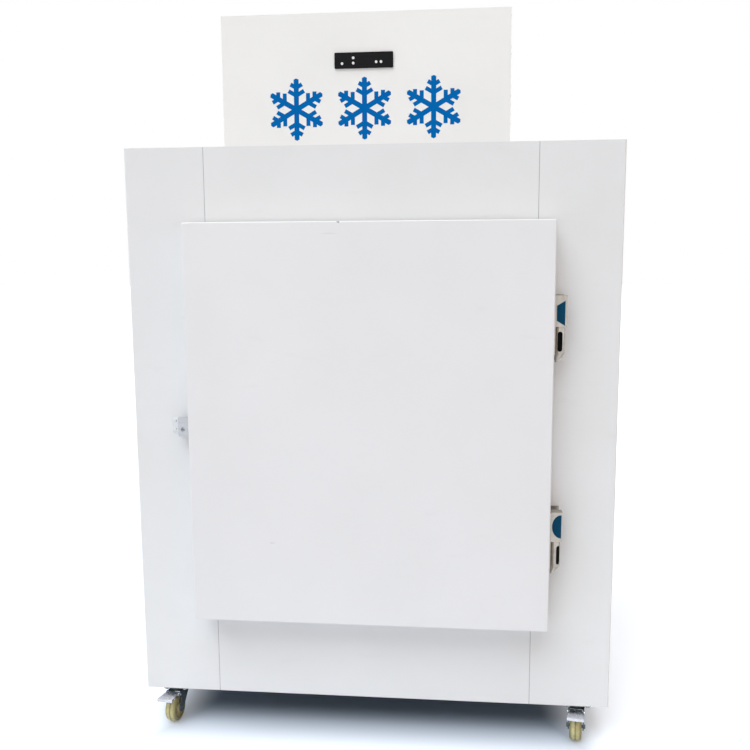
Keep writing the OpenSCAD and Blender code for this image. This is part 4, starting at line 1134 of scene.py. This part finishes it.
@dataclass
class Evaporator:
    """Ceiling evaporator: housing, coil, two fans with motors and guards, pan under it."""

    front_y: float = 26.5
    fan_x: float = 175.0
    fan_z: float = BASE_Z + 1316.0
    roof_z: float = BASE_Z + 1401.0
    screw_x: float = 340.0
    screw_z: float = 75.0
    clip_r: float = 82.0
    clip_rise: float = 3.6
    clip_screw_r: float = 85.0
    drain: Point = (-290.0, 296.5)
    pan_z: float = BASE_Z + 1213.0

    def build(self) -> None:
        """Dresses the evaporator and adds its screws, guard clips, motor leads and drain nut."""
        dress(LINER, "evaporator_housing")
        dress(FINS, "evaporator_coil")
        dress(BLACK_ENAMEL, "evaporator_motors")
        dress(DIPPED_WIRE, "evaporator_guards")
        dress(FAN_NYLON, "evaporator_fan_left", "evaporator_fan_right")
        dress(GALVANISED, "drain_pan")
        spots = [(i * self.screw_x, self.front_y, self.fan_z + j * self.screw_z) for i in (-1, 0,
                                                                                           1) for j in (-1,
                                                                                                        1)]
        fasteners("housing_screws", "cabinet", spots, (0, -1, 0), 4.2, 2.0, screws=True)
        clips, heads = Shape(), []
        for side in (-1, 1):
            for turn in (45, 135, 225, 315):
                c, s = math.cos(math.radians(turn)), math.sin(math.radians(turn))
                spot, head = [(side * self.fan_x + r * c, self.front_y - rise, self.fan_z + r * s)
                              for r, rise in ((self.clip_r, 0.0), (self.clip_screw_r, self.clip_rise))]
                clips.plate(rounded(18, 9, 2), self.clip_rise, placed(spot, (0, -1, 0), (-s, 0, c)), edge=0.5)
                heads.append(head)
        clips.piece("guard_clips", "cabinet", DIPPED_WIRE, "black_steel")
        fasteners("guard_screws", "cabinet", heads, (0, -1, 0), 3.0, 1.4, screws=True)
        leads = Shape()
        for side in (-1, 1):
            x = side * self.fan_x
            leads.tube([(x + 8, self.front_y + 81, self.fan_z), (x + 10, self.front_y + 104, self.fan_z + 22),
                        (x + 14, self.front_y + 112, self.roof_z - 26),
                        (x + 40, self.front_y + 114, self.roof_z - 8),
                        (x + 90, self.front_y + 118, self.roof_z - 6)], 3.0)
        leads.piece("motor_leads", "cabinet", CABLE, "black_plastic")
        nut = Shape().turned([(17.0, 0.0), (18.0, 1.0), (18.0, 9.0), (16.5, 10.5)],
                             placed((*self.drain, self.pan_z), (0, 0, -1), (0, 1, 0)), 8)
        nut.piece("drain_nut", "cabinet", DRAIN_PVC, "drain_plastic", bevel=0.6)


@dataclass
class CondensingUnit:
    """Condensing unit on its base: compressor, coil with shroud and fan, lines and control box."""

    deck_z: float = BASE_Z + 1503.5
    compressor: Point = (-200.0, -193.5)
    feet: Point = (78.0, 58.0)
    foot_h: float = 20.0
    box: Point = (198.0, -245.5)
    box_screw: Point = (50.0, 32.0)
    box_top: float = BASE_Z + 1657.5
    line: Point = (280.0, 251.5)
    motor: Point = (-38.0, -5.5)
    gland: Point3 = (306.0, 296.0, BASE_Z + 1529.0)

    def build(self) -> None:
        """Dresses the unit and adds its bolts, leads, sleeve and process tube."""
        dress(GALVANISED, "unit_base", "fan_shroud")
        dress(BLACK_ENAMEL, "compressor", "condenser_motor")
        dress(DARK_FINS, "condenser_coil")
        dress(FAN_NYLON, "condenser_fan")
        dress(COPPER, "refrigerant_lines")
        dress(GREY_ENAMEL, "electrical_box", bevel=1.0)
        bolts("compressor_bolts", corners(self.compressor, self.feet, self.deck_z + self.foot_h), (0, 0, 1),
              8.5, 1.6, 4.8)
        fasteners("box_screws", "cabinet", corners(self.box, self.box_screw, self.box_top), (0, 0, 1), 3.6,
                  1.8,
                  screws=True)
        self.leads()
        deck, (cx, cy), (lx, ly) = self.deck_z, self.compressor, self.line
        sleeve = Shape().tube([(lx, ly, deck - 22), (lx, ly, deck + 60), (lx, ly, deck + 128)], 13.0,
                              sides=20)
        sleeve.piece("suction_sleeve", "cabinet", SLEEVE, "black_plastic")
        stub = Shape().tube([(cx - 70, cy - 30, deck + 150), (cx - 96, cy - 36, deck + 158),
                             (cx - 102, cy - 38, deck + 186)], 3.2)
        stub.piece("process_tube", "cabinet", COPPER, "copper_tube")

    def leads(self) -> None:
        """Cables from the compressor, the fan motor and the gland to the electrical box."""
        deck, (cx, cy), (bx, by) = self.deck_z, self.compressor, self.box
        (mx, my), (gx, gy, gz) = self.motor, self.gland
        leads = Shape()
        leads.tube([(cx + 107, cy, deck + 90), (cx + 130, cy + 6, deck + 70), (cx + 190, cy - 10, deck + 12),
                    (bx - 100, by + 30, deck + 8), (bx - 61, by + 18, deck + 30)], 4.0)
        leads.tube([(mx + 14, my + 2, deck + 118), (mx + 30, my - 22, deck + 84),
                    (mx + 70, my - 60, deck + 10),
                    (bx - 90, by + 60, deck + 8), (bx - 61, by + 24, deck + 48)], 3.2)
        leads.tube([(gx, gy, gz), (gx, gy - 40, gz - 4), (gx - 14, gy - 160, deck + 6),
                    (gx - 16, by + 60, deck + 6), (bx + 61, by + 12, deck + 34)], 4.2)
        leads.piece("unit_leads", "cabinet", CABLE, "black_plastic")


@dataclass
class Caster:
    """Swivel caster: pressed fork, cast wheel, and on the front two a brake pedal.

    Attributes:
        place: "front_left" and so on.
        x: Place of the swivel axis.
        y: Place of the swivel axis.
        turn: Turn about the axis at rest, in degrees.
    """

    place: str
    x: float
    y: float
    turn: float
    trail: float = 28.0
    wheel_r: float = 37.5
    height: float = BASE_Z
    plate: float = 3.0
    bolt: Point = (26.0, 27.0)

    def wheel(self, axle: Point3, along: Point3) -> None:
        """Crowned tyre cast round a ribbed hub, in place of the frame's plain wheel.

        Args:
            axle: The wheel's middle, in millimetres.
            along: Direction of the axle.
        """
        body = f"wheel_{self.place}"
        at = placed(axle, along)
        side = [(25.5, 12.8), (28.0, 15.2), (31.5, 15.5), (34.2, 13.8), (36.2, 10.5), (37.2, 5.5),
                (37.5, 1.6),
                (36.5, 0.8)]
        section = side + [(r, -z) for r, z in reversed(side)]
        tyre = Shape().loft([(circle(r, 64), z) for r, z in section], at, closed=True).piece(
            f"tyre_{self.place}", body,
            CastPolyurethane(f"cast_polyurethane_{self.place}", "#d3cc98", 0.38, axle=axle, along=along),
            "wheel_polyurethane", smooth=50)
        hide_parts(body)
        side = [(4.3, 15.4), (10.0, 15.4), (11.0, 14.4), (11.6, 7.0), (13.0, 5.6), (23.5, 5.6), (24.6, 7.0),
                (25.6, 12.8)]
        section = side + [(r, -z) for r, z in reversed(side)]
        hub = Shape().loft([(circle(r, 48), z) for r, z in section], at, closed=True)
        for i in range(8):
            rib = at @ Matrix.Rotation(math.pi / 4 * i, 4, "Z") @ Matrix.Translation((18.2, 0, -11.6))
            hub.plate(rounded(14.2, 2.0, 0.4, 2), 23.2, rib)
        hub.piece(f"hub_{self.place}", body, HUB_NYLON, "wheel_polyurethane")

    def build(self) -> None:
        """Dresses the caster's nodes and adds its wheel and the bolts under its plate."""
        turn = math.radians(self.turn)
        axle = (self.x + self.trail * math.sin(turn), self.y - self.trail * math.cos(turn), self.wheel_r)
        along = (math.cos(turn), math.sin(turn), 0.0)
        self.wheel(axle, along)
        dress(FORK_ZINC, f"fork_{self.place}", bevel=0.4)
        bolts(f"caster_bolts_{self.place}", corners((self.x, self.y), self.bolt, self.height - self.plate),
              (0, 0, -1), 8.0, 1.4, 3.2)


@dataclass
class Studio:
    """Pale floor, soft light from the upper left, and the photograph's camera.

    Attributes:
        spot: The camera's place, in metres.
        yaw: Its turn to the right, in degrees.
        pitch: Its turn upwards, in degrees.
        roll: Its turn about its own axis, in degrees.
        lens: Its focal length on a 36 mm sensor, in millimetres.
        lift: Strength of the open floor's own light, which fades it into the background.
        bounce: How much of that light reaches the object.
        shade_mid: Middle of the painted shadow on the floor under the cabinet, in metres.
        shade_fade: Distances from it over which the floor turns pale, along X and Y.
        sun_way: Direction of the skylight's rays.
    """

    spot: Point3 = (0.2438, -2.6318, 1.2141 + BASE_Z * MM)
    yaw: float = -5.82
    pitch: float = -8.09
    roll: float = 0.35
    lens: float = 42.26
    lift: float = 0.5
    bounce: float = 0.5
    shade_mid: Point3 = (0.0, 0.1, 0.0)
    shade_fade: tuple[Point, Point] = ((0.46, 0.66), (0.35, 0.66))
    sun_way: Point3 = (0.24, 0.5, -1.0)

    def camera(self) -> None:
        """Camera at the photograph's place, angle and lens."""
        yaw, pitch, roll = (math.radians(a) for a in (self.yaw, self.pitch, self.roll))
        ahead = Vector((math.sin(yaw) * math.cos(pitch), math.cos(yaw) * math.cos(pitch), math.sin(pitch)))
        right = Vector((math.cos(yaw), -math.sin(yaw), 0.0))
        down = ahead.cross(right)
        across = right * math.cos(roll) + down * math.sin(roll)
        below = down * math.cos(roll) - right * math.sin(roll)
        data = bpy.data.cameras.new("camera")
        data.lens = self.lens
        data.sensor_width = 36.0
        data.clip_start = 0.05
        made = bpy.data.objects.new("camera", data)
        bpy.context.scene.collection.objects.link(made)
        made.matrix_world = Matrix.Translation(self.spot) @ Matrix((across, -below,
                                                                    -ahead)).transposed().to_4x4()
        bpy.context.scene.camera = made

    def lamp(self, name: str, spot: Point3, size: float, power: float, colour: str) -> None:
        """Square soft box aimed at the cabinet's middle.

        Args:
            name: Name of the lamp.
            spot: Its place, in metres.
            size: Length of its side, in metres.
            power: Its power, in watts.
            colour: Its colour.
        """
        data = bpy.data.lights.new(name, "AREA")
        data.shape = "SQUARE"
        data.size = size
        data.energy = power
        data.color = linear(colour)[:3]
        made = bpy.data.objects.new(name, data)
        made.location = spot
        made.rotation_euler = (Vector((0.0, 0.0, 0.95)) - Vector(spot)).to_track_quat("-Z", "Y").to_euler()
        bpy.context.scene.collection.objects.link(made)

    def skylight(self) -> None:
        """Wide soft light from above, a little from the left and the front, which draws the door's shadow."""
        data = bpy.data.lights.new("skylight", "SUN")
        data.energy = 2.85
        data.angle = 0.9
        data.color = linear("#e5edf3")[:3]
        made = bpy.data.objects.new("skylight", data)
        made.rotation_euler = Vector(self.sun_way).to_track_quat("-Z", "Y").to_euler()
        bpy.context.scene.collection.objects.link(made)

    def background_rays(self, tree: Tree) -> Socket:
        """1 for rays from the camera, a mirror or a pane, and 0 for rays that light the object."""
        path = add(tree, "LightPath", {})
        both = add(tree, "Math", {0: path.outputs["Is Camera Ray"], 1: path.outputs["Is Glossy Ray"]},
                   operation="MAXIMUM").outputs[0]
        return add(tree, "Math", {0: both, 1: path.outputs["Is Transmission Ray"]},
                   operation="MAXIMUM").outputs[0]

    def world(self) -> None:
        """White all round for the eye; for the light a sky that is cool on the left and warm on the right."""
        made = bpy.data.worlds.new("studio")
        bpy.context.scene.world = made
        made.use_nodes = True
        tree = made.node_tree
        tree.nodes.clear()
        way = add(tree, "SeparateXYZ", {0: add(tree, "TexCoord", {}).outputs["Generated"]}).outputs[0]
        side = add(tree, "MapRange", {0: way, 1: -1.0, 2: 1.0}, interpolation_type="SMOOTHSTEP").outputs[0]
        tone = add(tree, "Mix", {0: side, 6: "#f2f4f8", 7: "#ffd09a"}, data_type="RGBA").outputs[2]
        sky = add(tree, "Background", {"Color": tone, "Strength": 0.46})
        seen = add(tree, "Background", {"Color": "#ffffff", "Strength": 1.0})
        mixed = add(tree, "MixShader", {0: self.background_rays(tree), 1: sky.outputs[0], 2: seen.outputs[0]})
        add(tree, "OutputWorld", {"Surface": mixed.outputs[0]})

    def floor(self) -> None:
        """Wide white floor that fades into the background, keeps the shadow, and has a painted shadow under
        the cabinet.
        """
        bm = bmesh.new()
        bmesh.ops.create_grid(bm, x_segments=1, y_segments=1, size=30.0)
        data = bpy.data.meshes.new("floor")
        bm.to_mesh(data)
        bm.free()
        made = bpy.data.objects.new("floor", data)
        bpy.context.scene.collection.objects.link(made)
        paper = bpy.data.materials.new("studio_floor")
        paper.use_nodes = True
        tree = paper.node_tree
        tree.nodes.clear()
        at = add(tree, "TexCoord", {}).outputs["Object"]
        spot = add(tree, "VectorMath", {0: at, 1: self.shade_mid}, operation="SUBTRACT").outputs[0]
        spot = add(tree, "VectorMath", {0: spot}, operation="ABSOLUTE").outputs[0]
        axes = add(tree, "SeparateXYZ", {0: spot}).outputs
        sides = [add(tree, "MapRange", {0: axes[i], 1: start, 2: end},
                     interpolation_type="SMOOTHSTEP").outputs[0]
                 for i, (start, end) in enumerate(self.shade_fade)]
        open_air = add(tree, "Math", {0: sides[0], 1: sides[1]}, operation="MAXIMUM").outputs[0]
        # Painted shadow: the floor is darker under the cabinet, and its glow fades out there as well
        tone = add(tree, "Mix", {0: open_air, 6: "#8a99aa", 7: "#dde3ea"}, data_type="RGBA").outputs[2]
        matt = add(tree, "BsdfDiffuse", {"Color": tone, "Roughness": 0.5})
        length = add(tree, "VectorMath", {0: at}, operation="LENGTH").outputs["Value"]
        far = add(tree, "MapRange", {0: length, 1: 2.0, 2: 5.0, 3: 0.0, 4: 0.3}).outputs[0]
        glow = add(tree, "Math", {0: open_air, 1: self.lift, 2: far}, operation="MULTIPLY_ADD").outputs[0]
        near = add(tree, "MapRange", {0: length, 1: 0.9, 2: 2.2, 3: self.bounce, 4: 0.05}).outputs[0]
        share = add(tree, "Math", {0: self.background_rays(tree), 1: near}, operation="MAXIMUM").outputs[0]
        glow = add(tree, "Math", {0: share, 1: glow}, operation="MULTIPLY").outputs[0]
        lift = add(tree, "Emission", {"Color": "#f4f8ff", "Strength": glow})
        both = add(tree, "AddShader", {0: matt.outputs[0], 1: lift.outputs[0]})
        add(tree, "OutputMaterial", {"Surface": both.outputs[0]})
        data.materials.append(paper)

    def build(self) -> None:
        """Sets up the camera, the lamps, the sky and the floor."""
        self.camera()
        self.world()
        self.floor()
        self.lamp("key", (-3.2, -7.4, 1.4), 4.2, 18.0, "#f2f2ff")
        self.skylight()
        bpy.context.scene.view_settings.view_transform = "Standard"


def main() -> None:
    """Builds every sub-assembly in order and reports it."""
    logging.basicConfig(level=logging.INFO, format="%(message)s")
    parts = [
        Studio(), Cabinet(), Door(),
        EdgeHinge("upper", BASE_Z + 935.0, Inlay.TRAPEZOID, 0.0),
        EdgeHinge("lower", BASE_Z + 387.0, Inlay.HALF_ROUND, 40.0),
        Hasp(), Header(), Controller(), Evaporator(), CondensingUnit(),
        Caster("front_left", -557.0, -338.5, -7.0), Caster("front_right", 557.0, -338.5, -9.0),
        Caster("rear_left", -557.0, 423.5, 20.0), Caster("rear_right", 557.0, 423.5, -8.0),
    ]
    for part in parts:
        part.build()
        log.info("built %s", type(part).__name__)
    dress(CHROME, "hinge_pins")
    # The caster plates take the forks' zinc, whose dark colour is painted shade
    dress(FORK_ZINC, "caster_plates", bevel=0.4)
    # The pedals' near-white zinc is a painted reflection of the sky
    dress(PEDAL_ZINC, "brake_pedal_left", "brake_pedal_right", bevel=0.3)


if __name__ == "__main__":
    main()
